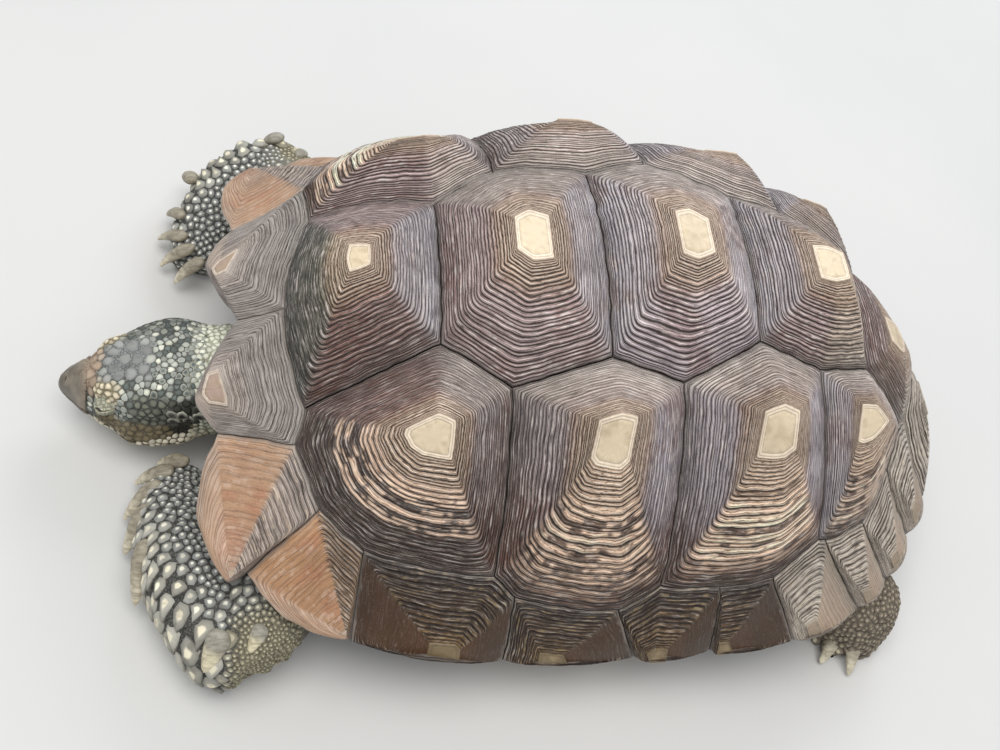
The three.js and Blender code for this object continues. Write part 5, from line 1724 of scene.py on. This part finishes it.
FORELEG_AXES = {  # hand end and elbow, in units
                "left": (np.array([-5.4, -11.2, -20.9]), np.array([5.0, -39.0, -16.8])),
    "right": (np.array([-5.4, 22.6, -20.9]), np.array([8.4, 42.0, -16.4])),
}
# The largest scales of a forearm: share along it, forward and up from its middle line in units, width in mm.
FOREARM_PLATES = ((0.86, 5.0, 6.0, 11.5), (0.75, 6.2, 6.0, 10), (0.65, 6.0, 6.4, 9), (0.57, 6.9, 6.1, 8.5),
                  (0.45, 7.4, 5.5, 7.5), (0.93, 2.2, 6.4, 8.5))


def limb_front(name, side):
    run = FORELEG_AXES[name][1] - FORELEG_AXES[name][0]
    return run, unit_rows(np.array([-abs(run[1]), side * abs(run[0]), 0.0]))


def limb_place(name, side, share, forward, up):
    run, front = limb_front(name, side)
    mark = FORELEG_AXES[name][0] + run * share + front * forward + (0, 0, up + NOTCH_HEIGHT)
    return SHELL_ORIGIN + mark * UNIT


def foreleg_coat(name, side):
    hand, elbow = FORELEG_AXES[name]
    run, front = limb_front(name, side)

    def parts(p, n):
        m = marks_of(p)
        s = np.clip((m - hand) @ run / (run @ run), -0.2, 1.2)
        facing = n @ front
        behind = smooth(s, 0.80, 0.95) * smooth(m[:, 0], elbow[0] - 4.4, elbow[0] - 2.2)
        return m, s, facing, behind

    def size_at(p, n):
        m, s, facing, behind = parts(p, n)
        size = 3.2 + smooth(facing, -0.15, 0.6) * (1.4 + 5.6 * np.clip(s, 0, 1))
        size = size * blend(1.0, 0.72, smooth(m[:, 0], -1.0, 4.0))
        return blend(size, 2.0, behind) * MM

    def style_at(p, n, size, rng):
        m, s, facing, behind = parts(p, n)
        big = smooth(size, 0.0042, 0.0085)
        height = size * blend(0.26, 0.17, big)
        edge = blend(rgb(142, 144, 142), rgb(168, 166, 156), big[:, None])
        crown = blend(rgb(236, 234, 220), rgb(238, 230, 204), big[:, None])
        edge = blend(edge, rgb(142, 136, 114), behind[:, None])
        crown = blend(crown, rgb(206, 198, 170), behind[:, None])
        crown = crown * (1 + 0.12 * rng.normal(size=len(p)))[:, None]
        edge = edge * (1 + 0.14 * rng.normal(size=len(p)))[:, None]
        # Painted shade: the scales darken a little toward the elbow, where the arm goes under the shell's
        # front rim.
        dusk = smooth(m[:, 0], -1.5, 3.5) * 0.12
        return height, big * 0.9, big, edge * (1 - dusk)[:, None], crown * (1 - dusk)[:, None]

    def unwrap(p):
        m = marks_of(p)
        s = np.clip((m - hand) @ run / (run @ run), -0.3, 1.3)
        d = m - hand - run * s[:, None]
        return unrolled(d[:, 2], d @ front, (s + 0.3) / 1.6)

    def chosen(co, n):
        m = marks_of(co)
        across = m[:, 1] * side
        here = in_boxes(co, ("foreleg_" + name,), 0.003)
        return (here & (m[:, 0] < 10.5) & (across > (8.4 if name == "left" else 16))
                & ((co[:, 2] > SOLE) | (n[:, 2] > SOLE_TILT)))
    return dict(chosen=chosen, size_at=size_at, style_at=style_at, unwrap=unwrap,
                lie=(-0.25, side * 1.0, -0.55))


def hindleg_coat(name, side):
    def size_at(p, n):
        m = marks_of(p)
        return (2.7 + 1.8 * smooth(-m[:, 2], 17, 22) + 1.0 * smooth(-n[:, 0], 0.2, 0.9)) * MM

    def style_at(p, n, size, rng):
        big = smooth(size, 0.0036, 0.006)
        edge = np.broadcast_to(rgb(122, 112, 97), p.shape)
        crown = blend(rgb(172, 160, 140), rgb(204, 194, 170), big[:, None]) * (
            1 + 0.1 * rng.normal(size=len(p)))[:, None]
        return size * 0.22, big * 0.6, big * 0.7, edge, crown

    def unwrap(p):
        m = marks_of(p)
        return unrolled(m[:, 1] - side * 27.8, m[:, 0] - 88.4, np.clip((m[:, 2] + 23) / 16, 0, 1))

    def chosen(co, n):
        m = marks_of(co)
        here = in_boxes(co, ("hindleg_" + name,), 0.003)
        return here & (m[:, 0] > 78.5) & ((co[:, 2] > SOLE) | (n[:, 2] > SOLE_TILT))
    return dict(chosen=chosen, size_at=size_at, style_at=style_at, unwrap=unwrap,
                lie=(-0.15, side * 0.2, -1.0))


def tail_coat():
    def size_at(p, n):
        m = marks_of(p)
        return (3.1 - 0.9 * smooth(m[:, 0], 95, 101)) * MM

    def style_at(p, n, size, rng):
        edge = np.broadcast_to(rgb(88, 80, 68), p.shape)
        crown = np.broadcast_to(rgb(146, 136, 116), p.shape) * (1 + 0.1 * rng.normal(size=len(p)))[:, None]
        return size * 0.2, 0.3 + 0 * size, 0.3 + 0 * size, edge, crown

    def unwrap(p):
        m = marks_of(p)
        up = m[:, 2] + 14 + 0.5 * (m[:, 0] - 90)
        return unrolled(up, m[:, 1] - 1, np.clip((m[:, 0] - 86) / 18, 0, 1))

    def chosen(co, n):
        m = marks_of(co)
        return (m[:, 0] > 88) & (np.abs(m[:, 1] - 1.5) < 8) & (m[:, 2] < -8.5) & (co[:, 2] > 0.002)
    return dict(chosen=chosen, size_at=size_at, style_at=style_at, unwrap=unwrap, lie=(1.0, 0.25, -0.4))


def neck_coat():
    def size_at(p, n):
        return 2.5 * MM + 0 * p[:, 0]

    def style_at(p, n, size, rng):
        m = marks_of(p)
        under = smooth(-m[:, 2], 13, 17)[:, None]
        # Painted shade: the neck's scales darken toward the back, where the neck goes in under the shell.
        back_share = smooth(m[:, 0], 1, 7)[:, None]
        edge = blend(rgb(196, 198, 178), rgb(172, 160, 132), under)
        crown = blend(rgb(238, 240, 220), rgb(214, 204, 176), under)
        edge, crown = blend(edge, rgb(92, 86, 70), back_share), blend(crown, rgb(140, 132, 110), back_share)
        return size * 0.13, 0 * size, 0 * size, edge, crown * (1 + 0.06 * rng.normal(size=len(p)))[:, None]

    def unwrap(p):
        m = marks_of(p)
        return unrolled(m[:, 2] + 12.9, m[:, 1] - NECK_SIDE, np.clip((m[:, 0] + 6) / 16, 0, 1))

    def chosen(co, n):
        m = marks_of(co)
        front_of_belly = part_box("plastron_gular")[0][0] - 0.003
        on_belly = (co[:, 0] > front_of_belly) & (co[:, 2] < BELLY_HEIGHT + BELLY_THICKNESS + 0.003)
        here = (m[:, 0] > -4.2) & (m[:, 0] < 6.5) & (np.abs(m[:, 1] - NECK_SIDE) < 8.6) & (m[:, 2] > -20.8)
        return here & ~on_belly
    return dict(chosen=chosen, size_at=size_at, style_at=style_at, unwrap=unwrap, lie=(1.0, 0.0, -0.2))


def head_parts(p):
    """Which part of the head each place is on, each as a share from 0 to 1."""
    m = marks_of(p)
    x, z = -m[:, 0], m[:, 2]
    y = np.abs(m[:, 1] - HEAD_SIDE)
    brow = np.zeros(len(p))
    for place in BROWS:
        near = falloff(p, head_place(*place), BROW_REACH)
        brow = np.maximum(brow, smooth(near, 0.25, 0.42))
    top = smooth(z, -10.6, -9.0)
    middle = np.abs(m[:, 1] - HEAD_SIDE + 0.7)
    jaw_line = 16.3 - 1.7 * (1 - smooth(x, 4.0, 11.0))
    return {
        "brow": brow,
        "frontal": (top * smooth(x, 9.4, 10.6) * (1 - smooth(x, 15.4, 16.2))
                    * (1 - smooth(middle, 2.4, 3.2)) * (1 - brow)),
        "snout": smooth(x, 15.8, 16.6) * (1 - smooth(y, 3.4, 4.4)) * smooth(z, -13.5, -12) * (1 - brow),
        "temple": (smooth(y, 4.6, 5.6) * smooth(z, -13.6, -12.8)
                   * (1 - smooth(z, -9.4, -8.4)) * (1 - smooth(x, 11.2, 12.6))),
        "cheek": (smooth(y, 4.4, 5.4) * smooth(-z, 12.8, 13.6)
                  * (1 - smooth(-z, jaw_line - 0.4, jaw_line + 0.4))),
        "jaw": smooth(-z, jaw_line - 0.3, jaw_line + 0.5),
        "back": (1 - smooth(x, 4.6, 6.2)) * smooth(z, -12, -10),
        "scallop": (smooth(y, 5.0, 5.8) * (1 - smooth(x, 6.6, 7.6))
                    * smooth(z, -12.9, -12.2) * (1 - smooth(z, -10.9, -10.3))),
    }


def head_coat():
    def size_at(p, n):
        part = head_parts(p)
        size = 2.7 + 0 * p[:, 0]
        for key, own in (("back", 2.4), ("jaw", 2.8), ("cheek", 3.4), ("temple", 3.5), ("frontal", 5.6),
                         ("snout", 4.6), ("brow", 2.9), ("scallop", 4.4)):
            size = blend(size, own, part[key])
        return size * MM

    def style_at(p, n, size, rng):
        part = head_parts(p)
        out = marks_of(p)[:, 1] - HEAD_SIDE
        crown = HEAD_TONES[rng.choice(len(HEAD_TONES), len(p), p=(0.28, 0.34, 0.26, 0.12))]
        edge = np.where((rng.random(len(p)) < 0.4)[:, None], rgb(186, 188, 176), crown * 0.66)
        # Painted shade: the scales over most of the head's far right side are darkened by up to 0.4.
        far = (0.4 * smooth(out, 0.5, 4.5) * smooth(-marks_of(p)[:, 0], 5.5, 8.0))[:, None]
        crown, edge = crown * (1 - far), edge * (1 - far)
        height = size * 0.12
        for key, rim_tone, crown_tone, lift in (
                ("jaw", rgb(206, 196, 172), rgb(226, 218, 198), 0.09),
                ("cheek", rgb(88, 80, 61), rgb(124, 112, 87), 0.11),
                # The temple's dark tones are painted shadow under the brow.
                ("temple", rgb(60, 62, 57), rgb(124, 126, 113), 0.14),
                ("frontal", rgb(128, 130, 130), rgb(146, 147, 144), 0.085),
                ("snout", rgb(146, 128, 110), rgb(178, 158, 138), 0.09),
                ("brow", rgb(146, 136, 110), rgb(220, 208, 182), 0.22),
                ("scallop", rgb(190, 190, 176), rgb(40, 40, 40), 0.2)):
            share = part[key][:, None]
            edge, crown = blend(edge, rim_tone, share), blend(crown, crown_tone, share)
            # Painted shadow: the temple scales darken further toward the back of the head.
            if key == "temple":
                dusk = (0.78 * part["temple"] * (1 - smooth(-marks_of(p)[:, 0], 5.2, 10.2)))[:, None]
                edge, crown = edge * (1 - dusk), crown * (1 - dusk)
            height = blend(height, size * lift, part[key])
        edge = blend(edge, crown * 0.7, (0.6 * part["brow"] * rng.random(len(p)))[:, None])
        tone = (1 + 0.16 * rng.normal(size=len(p)))[:, None]
        overlap = 0.5 * part["scallop"] + 0.25 * part["temple"]
        return height, overlap, 0 * size, edge, crown * tone

    def unwrap(p):
        m = marks_of(p)
        return unrolled(m[:, 2] + 13.4, m[:, 1] - HEAD_SIDE, np.clip((m[:, 0] + 22) / 19, 0, 1))

    def chosen(co, n):
        m = marks_of(co)
        y = np.abs(m[:, 1] - HEAD_SIDE)
        keep = (m[:, 0] < -3.6) & (y < 9) & (co[:, 2] > 0.004)
        for middle, out, *_ in eye_frames():
            keep &= (np.linalg.norm(co - middle, axis=1) > EYE_RADIUS + 0.0014) | ((co - middle) @ out < 0)
        for side in (-1, 1):
            keep &= falloff(co, head_place(-5.6, side * 7.3, -14.2), (1.5, 3, 1.1)) < 0.36
        return keep & (m[:, 0] > -17.4)
    return dict(chosen=chosen, size_at=size_at, style_at=style_at, unwrap=unwrap, lie=(1.0, 0.0, -0.25))


HEAD_PLATES = [(-10.4 - 1.06 * row + 0.2 * math.sin(7 * row + 3 * i),
                -3.1 + 1.2 * i + 0.6 * (row % 2) + 0.2 * math.sin(5 * row + 8 * i), 5.6)
               for row in range(6) for i in range(5)]  # along, out from the head's middle, width in mm
HEAD_TONES = np.array([rgb(100, 108, 105), rgb(152, 157, 152), rgb(186, 190, 180), rgb(218, 218, 202)])


def make_coat(name, coat, seed, segments=7, first=(), levels=ROUND_SCALE):
    skin = bpy.data.objects["tortoise_skin"]
    co, tris, normals, tree = skin_tree(skin)
    keep = coat["chosen"](co, normals)
    if not keep.any():
        raise RuntimeError(f"no skin is left for {name}")
    starts = []
    for place, width in first:
        found, normal, _, _ = tree.find_nearest(Vector(place))
        starts.append((np.array(found), np.array(normal), width * MM))
    roots = scatter(co, tris, normals, keep, coat["size_at"], seed, starts)
    made = build_scales(name, roots, coat, segments, seed + 1, levels)
    rest_on_floor(made)
    return made


# ---------------------------------------------------------------- settings
def colour_property(name, description, tone):
    return bpy.props.FloatVectorProperty(
        name=name, description=description, subtype="COLOR", size=3, min=0, max=1,
        default=tuple(float(v) for v in tone))


class TortoiseShellSettings(bpy.types.PropertyGroup):
    dome_rings: bpy.props.IntProperty(
        name="Dome rings", description="Growth rings on the vertebral and costal plates",
        default=27, min=6, max=40)
    rim_rings: bpy.props.IntProperty(
        name="Rim rings", description="Growth rings on the marginal plates", default=15, min=4, max=30)
    areola_share: bpy.props.FloatProperty(
        name="Areola", description="Width of an areola as a share of its plate",
        default=0.235, min=0.1, max=0.4,
        subtype="FACTOR")
    dome_swell: bpy.props.FloatProperty(
        name="Flank swell", description="How far a dome plate's flanks swell out",
        default=0.0036, min=0, max=0.01,
        unit="LENGTH")
    gloss: bpy.props.FloatProperty(
        name="Horn roughness", description="Roughness of the polished horn", default=0.36, min=0.1, max=0.9,
        subtype="FACTOR")


class TortoiseBodySettings(bpy.types.PropertyGroup):
    claw_radius: bpy.props.FloatProperty(
        name="Claw radius", description="Radius of a claw at its root",
        default=CLAW_RADIUS, min=0.002, max=0.008,
        unit="LENGTH")
    spur_tone: colour_property("Spur colour", "Pale horn of the elbow spurs", rgb(222, 212, 180))


class TortoiseStageSettings(bpy.types.PropertyGroup):
    light_power: bpy.props.FloatProperty(
        name="Main light", description="Power of the soft overhead light",
        default=28.0, min=0, max=500, unit="POWER")
    fill: bpy.props.FloatProperty(
        name="Sky", description="Strength of the even light from all round", default=0.54, min=0, max=5)


def horn(shell):
    """The horn material that all the plates share, made once."""
    return bpy.data.materials.get(HORN_NAME) or horn_material(shell.gloss)


class TORTOISE_OT_vertebral_plates(bpy.types.Operator):
    """Builds the five plates along the spine"""
    bl_idname = "tortoise.vertebral_plates"
    bl_label = "Vertebral Plates"

    def execute(self, context):
        shell = context.scene.tortoise_shell
        for i in range(5):
            rings = shell.dome_rings if i < 4 else shell.dome_rings - 4
            share = shell.areola_share * (0.62 if i == 0 else 1.0)
            o = build_plate(
                vertebral_edges(i), at(VERTEBRAL_AREOLA[i]), columns=DOME_COLUMNS, rings=rings, share=share,
                swell=shell.dome_swell, seed=100 + 10 * i, pale=(0.98, 1.06, 1.16, 1.1, 1.1)[i])
            material = horn(shell)
            finish_piece(o, f"shell_vertebral_{i + 1}", material,
                         (f"scute_vertebral_{i + 1}",))
        return {"FINISHED"}


class TORTOISE_OT_costal_plates(bpy.types.Operator):
    """Builds the four plates on each flank"""
    bl_idname = "tortoise.costal_plates"
    bl_label = "Costal Plates"

    def execute(self, context):
        shell = context.scene.tortoise_shell
        for name, side in SIDES:
            for i in range(4):
                o = build_plate(
                    costal_edges(i, side), at(COSTAL_AREOLA[i], side), columns=DOME_COLUMNS,
                    rings=shell.dome_rings, share=shell.areola_share, swell=shell.dome_swell,
                    seed=200 + 10 * i + (5 if side > 0 else 0), low=0.115,
                    gloom=0.58 if i == 0 and side < 0 else 0.0,
                    pale=(0.94, 1.12, 1.1, 1.3)[i] if side < 0 else 1.4)
                material = horn(shell)
                finish_piece(o, f"shell_costal_{name}_{i + 1}", material,
                             (f"scute_costal_{name}_{i + 1}",))
        return {"FINISHED"}


class TORTOISE_OT_rim_plates(bpy.types.Operator):
    """Builds the eleven marginal plates on each side and the broad plate above the tail"""
    bl_idname = "tortoise.rim_plates"
    bl_label = "Rim Plates"

    def execute(self, context):
        shell = context.scene.tortoise_shell
        material = horn(shell)
        for name, side in SIDES:
            for k in range(11):
                _, _, share, button, _ = MARGINALS[k]
                rings = shell.rim_rings + {0: 9, 1: 6, 2: 6}.get(k, 0)
                o = build_plate(
                    marginal_edges(k, side), marginal_areola(k, side), columns=RIM_COLUMNS,
                    rings=rings, share=share, swell=0.0012, seed=400 + 10 * k + (5 if side > 0 else 0),
                    button=button, drop=0.0007, rounding=0.003,
                    blunt=rim_end(k, side) if k == POINTED_PLATE else None)
                finish_piece(o, f"shell_marginal_{name}_{k + 1}", material,
                             (f"scute_marginal_{name}_{k + 1}",))
        o = build_plate(
            tail_plate_edges(), at(TAIL_AREOLA), columns=TAIL_COLUMNS, rings=shell.rim_rings,
            share=0.2, swell=0.002, seed=600, button="brown", drop=0.0007, rounding=0.003)
        finish_piece(o, "shell_supracaudal", material, ("scute_supracaudal",))
        return {"FINISHED"}


class TORTOISE_OT_belly_plates(bpy.types.Operator):
    """Builds the belly shield"""
    bl_idname = "tortoise.belly_plates"
    bl_label = "Belly Plates"

    def execute(self, context):
        material = horn(context.scene.tortoise_shell)
        for i, (name, front, rear) in enumerate(BELLY_BANDS):
            o = build_belly_plate(front, rear, 700 + 10 * i)
            finish_piece(o, f"belly_{name}", material, (f"plastron_{name}",), smooth_angle=50)
        return {"FINISHED"}


class TORTOISE_OT_skin(bpy.types.Operator):
    """Builds one skin over the head, neck, limbs, tail and body"""
    bl_idname = "tortoise.skin"
    bl_label = "Skin"

    def execute(self, context):
        finish_piece(build_skin(), "tortoise_skin", skin_material(), FLESH)
        return {"FINISHED"}


class TORTOISE_OT_scales(bpy.types.Operator):
    """Covers the skin outside the shell with solid scales"""
    bl_idname = "tortoise.scales"
    bl_label = "Scales"

    def execute(self, context):
        material = scale_material()
        for name, side in SIDES:
            for part, coat, seed in (("foreleg", foreleg_coat, 800), ("hindleg", hindleg_coat, 820)):
                plates = FOREARM_PLATES if part == "foreleg" else ()
                plates = [(limb_place(name, side, *mark[:3]), mark[3]) for mark in plates]
                o = make_coat(f"scales_{part}_{name}", coat(name, side), seed + side, first=plates,
                              levels=BUTTON_SCALE)
                finish_piece(o, o.name, material)
        for part, coat, seed in (("tail", tail_coat, 840), ("neck", neck_coat, 850)):
            o = make_coat(f"scales_{part}", coat(), seed)
            finish_piece(o, o.name, material)
        plates = [(head_place(x, out, -6.0), width) for x, out, width in HEAD_PLATES]
        o = make_coat("scales_head", head_coat(), 860, 8, plates)
        finish_piece(o, o.name, material)
        return {"FINISHED"}


def joined(name, parts, material):
    select(*parts)
    bpy.ops.object.join()
    o = bpy.context.object
    rest_on_floor(o)
    return finish_piece(o, name, material)


class TORTOISE_OT_claws(bpy.types.Operator):
    """Builds the claws of each foot and the spurs of the forearms"""
    bl_idname = "tortoise.claws"
    bl_label = "Claws and Spurs"

    def execute(self, context):
        body = context.scene.tortoise_body
        material = claw_material()
        for foot in TOES:
            joined(f"claws_{foot}", claw_pieces(foot, body.claw_radius), material)
        tree = skin_tree(bpy.data.objects["tortoise_skin"])[3]
        for name, side in SIDES:
            spurs = [build_spur(name, side, mark, tree, body.spur_tone, 340 + i)
                     for i, mark in enumerate(SPURS)]
            joined(f"spurs_{name}", spurs, material)
        return {"FINISHED"}


class TORTOISE_OT_beak(bpy.types.Operator):
    """Builds the two halves of the beak"""
    bl_idname = "tortoise.beak"
    bl_label = "Beak"

    def execute(self, context):
        material = beak_material()
        for node in BEAK:
            finish_piece(build_beak(node), "horn_" + node, material, (node,))
        return {"FINISHED"}


class TORTOISE_OT_eyes(bpy.types.Operator):
    """Builds both eyes"""
    bl_idname = "tortoise.eyes"
    bl_label = "Eyes"

    def execute(self, context):
        material = eye_material()
        for (name, _), (middle, out, *_) in zip(SIDES, eye_frames()):
            finish_piece(build_eye(middle, out), "ball_eye_" + name, material, ("eye_" + name,))
        return {"FINISHED"}


class TORTOISE_OT_stage(bpy.types.Operator):
    """Sets up the pale floor, the soft lights and the camera"""
    bl_idname = "tortoise.stage"
    bl_label = "Stage"

    def execute(self, context):
        stage = context.scene.tortoise_stage
        deselect()
        bpy.ops.mesh.primitive_plane_add(size=8.0, location=(0, 0, 0))
        floor = bpy.context.object
        floor.name = "studio_floor"
        floor.data.materials.append(floor_material())
        floor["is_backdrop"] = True
        soft_light("light_above", (-0.25, -0.35, 1.9), (1.6, 1.2), stage.light_power, (1.0, 0.985, 0.96))
        soft_light("light_behind", (0.7, 1.5, 1.3), (1.4, 0.8), stage.light_power * 0.55, (0.93, 0.96, 1.0))
        world = bpy.data.worlds.new("studio")
        world.use_nodes = True
        sky = world.node_tree.nodes["Background"]
        sky.inputs["Color"].default_value = (0.93, 0.96, 1.0, 1)
        sky.inputs["Strength"].default_value = stage.fill
        context.scene.world = world
        context.scene.view_settings.view_transform = "Standard"
        build_camera()
        return {"FINISHED"}


class TORTOISE_PT_panel(bpy.types.Panel):
    """Lists the steps that build the tortoise"""
    bl_label = "Sulcata Tortoise"
    bl_idname = "TORTOISE_PT_panel"
    bl_space_type = "VIEW_3D"
    bl_region_type = "UI"
    bl_category = "Tortoise"

    def draw(self, context):
        scene = context.scene
        for group in (scene.tortoise_shell, scene.tortoise_body, scene.tortoise_stage):
            box = self.layout.box()
            for key in group.__annotations__:
                box.prop(group, key)
        for step in STEPS:
            self.layout.operator(step.bl_idname)


STEPS = (
    TORTOISE_OT_stage, TORTOISE_OT_vertebral_plates, TORTOISE_OT_costal_plates, TORTOISE_OT_rim_plates,
    TORTOISE_OT_belly_plates, TORTOISE_OT_skin, TORTOISE_OT_scales, TORTOISE_OT_claws, TORTOISE_OT_beak,
    TORTOISE_OT_eyes,
)
CLASSES = (TortoiseShellSettings, TortoiseBodySettings, TortoiseStageSettings, *STEPS, TORTOISE_PT_panel)


def register():
    for item in CLASSES:
        bpy.utils.register_class(item)
    bpy.types.Scene.tortoise_shell = bpy.props.PointerProperty(type=TortoiseShellSettings)
    bpy.types.Scene.tortoise_body = bpy.props.PointerProperty(type=TortoiseBodySettings)
    bpy.types.Scene.tortoise_stage = bpy.props.PointerProperty(type=TortoiseStageSettings)


def unregister():
    del bpy.types.Scene.tortoise_shell
    del bpy.types.Scene.tortoise_body
    del bpy.types.Scene.tortoise_stage
    for item in reversed(CLASSES):
        bpy.utils.unregister_class(item)


def main():
    register()
    for step in STEPS:
        group, name = step.bl_idname.split(".")
        getattr(getattr(bpy.ops, group), name)()
    as_lists = lambda bounds: [[float(v) for v in corner] for corner in bounds]
    sizes = {"cad": as_lists(CAD_BOUNDS), "visual": as_lists(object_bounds())}


if __name__ == "__main__":
    main()
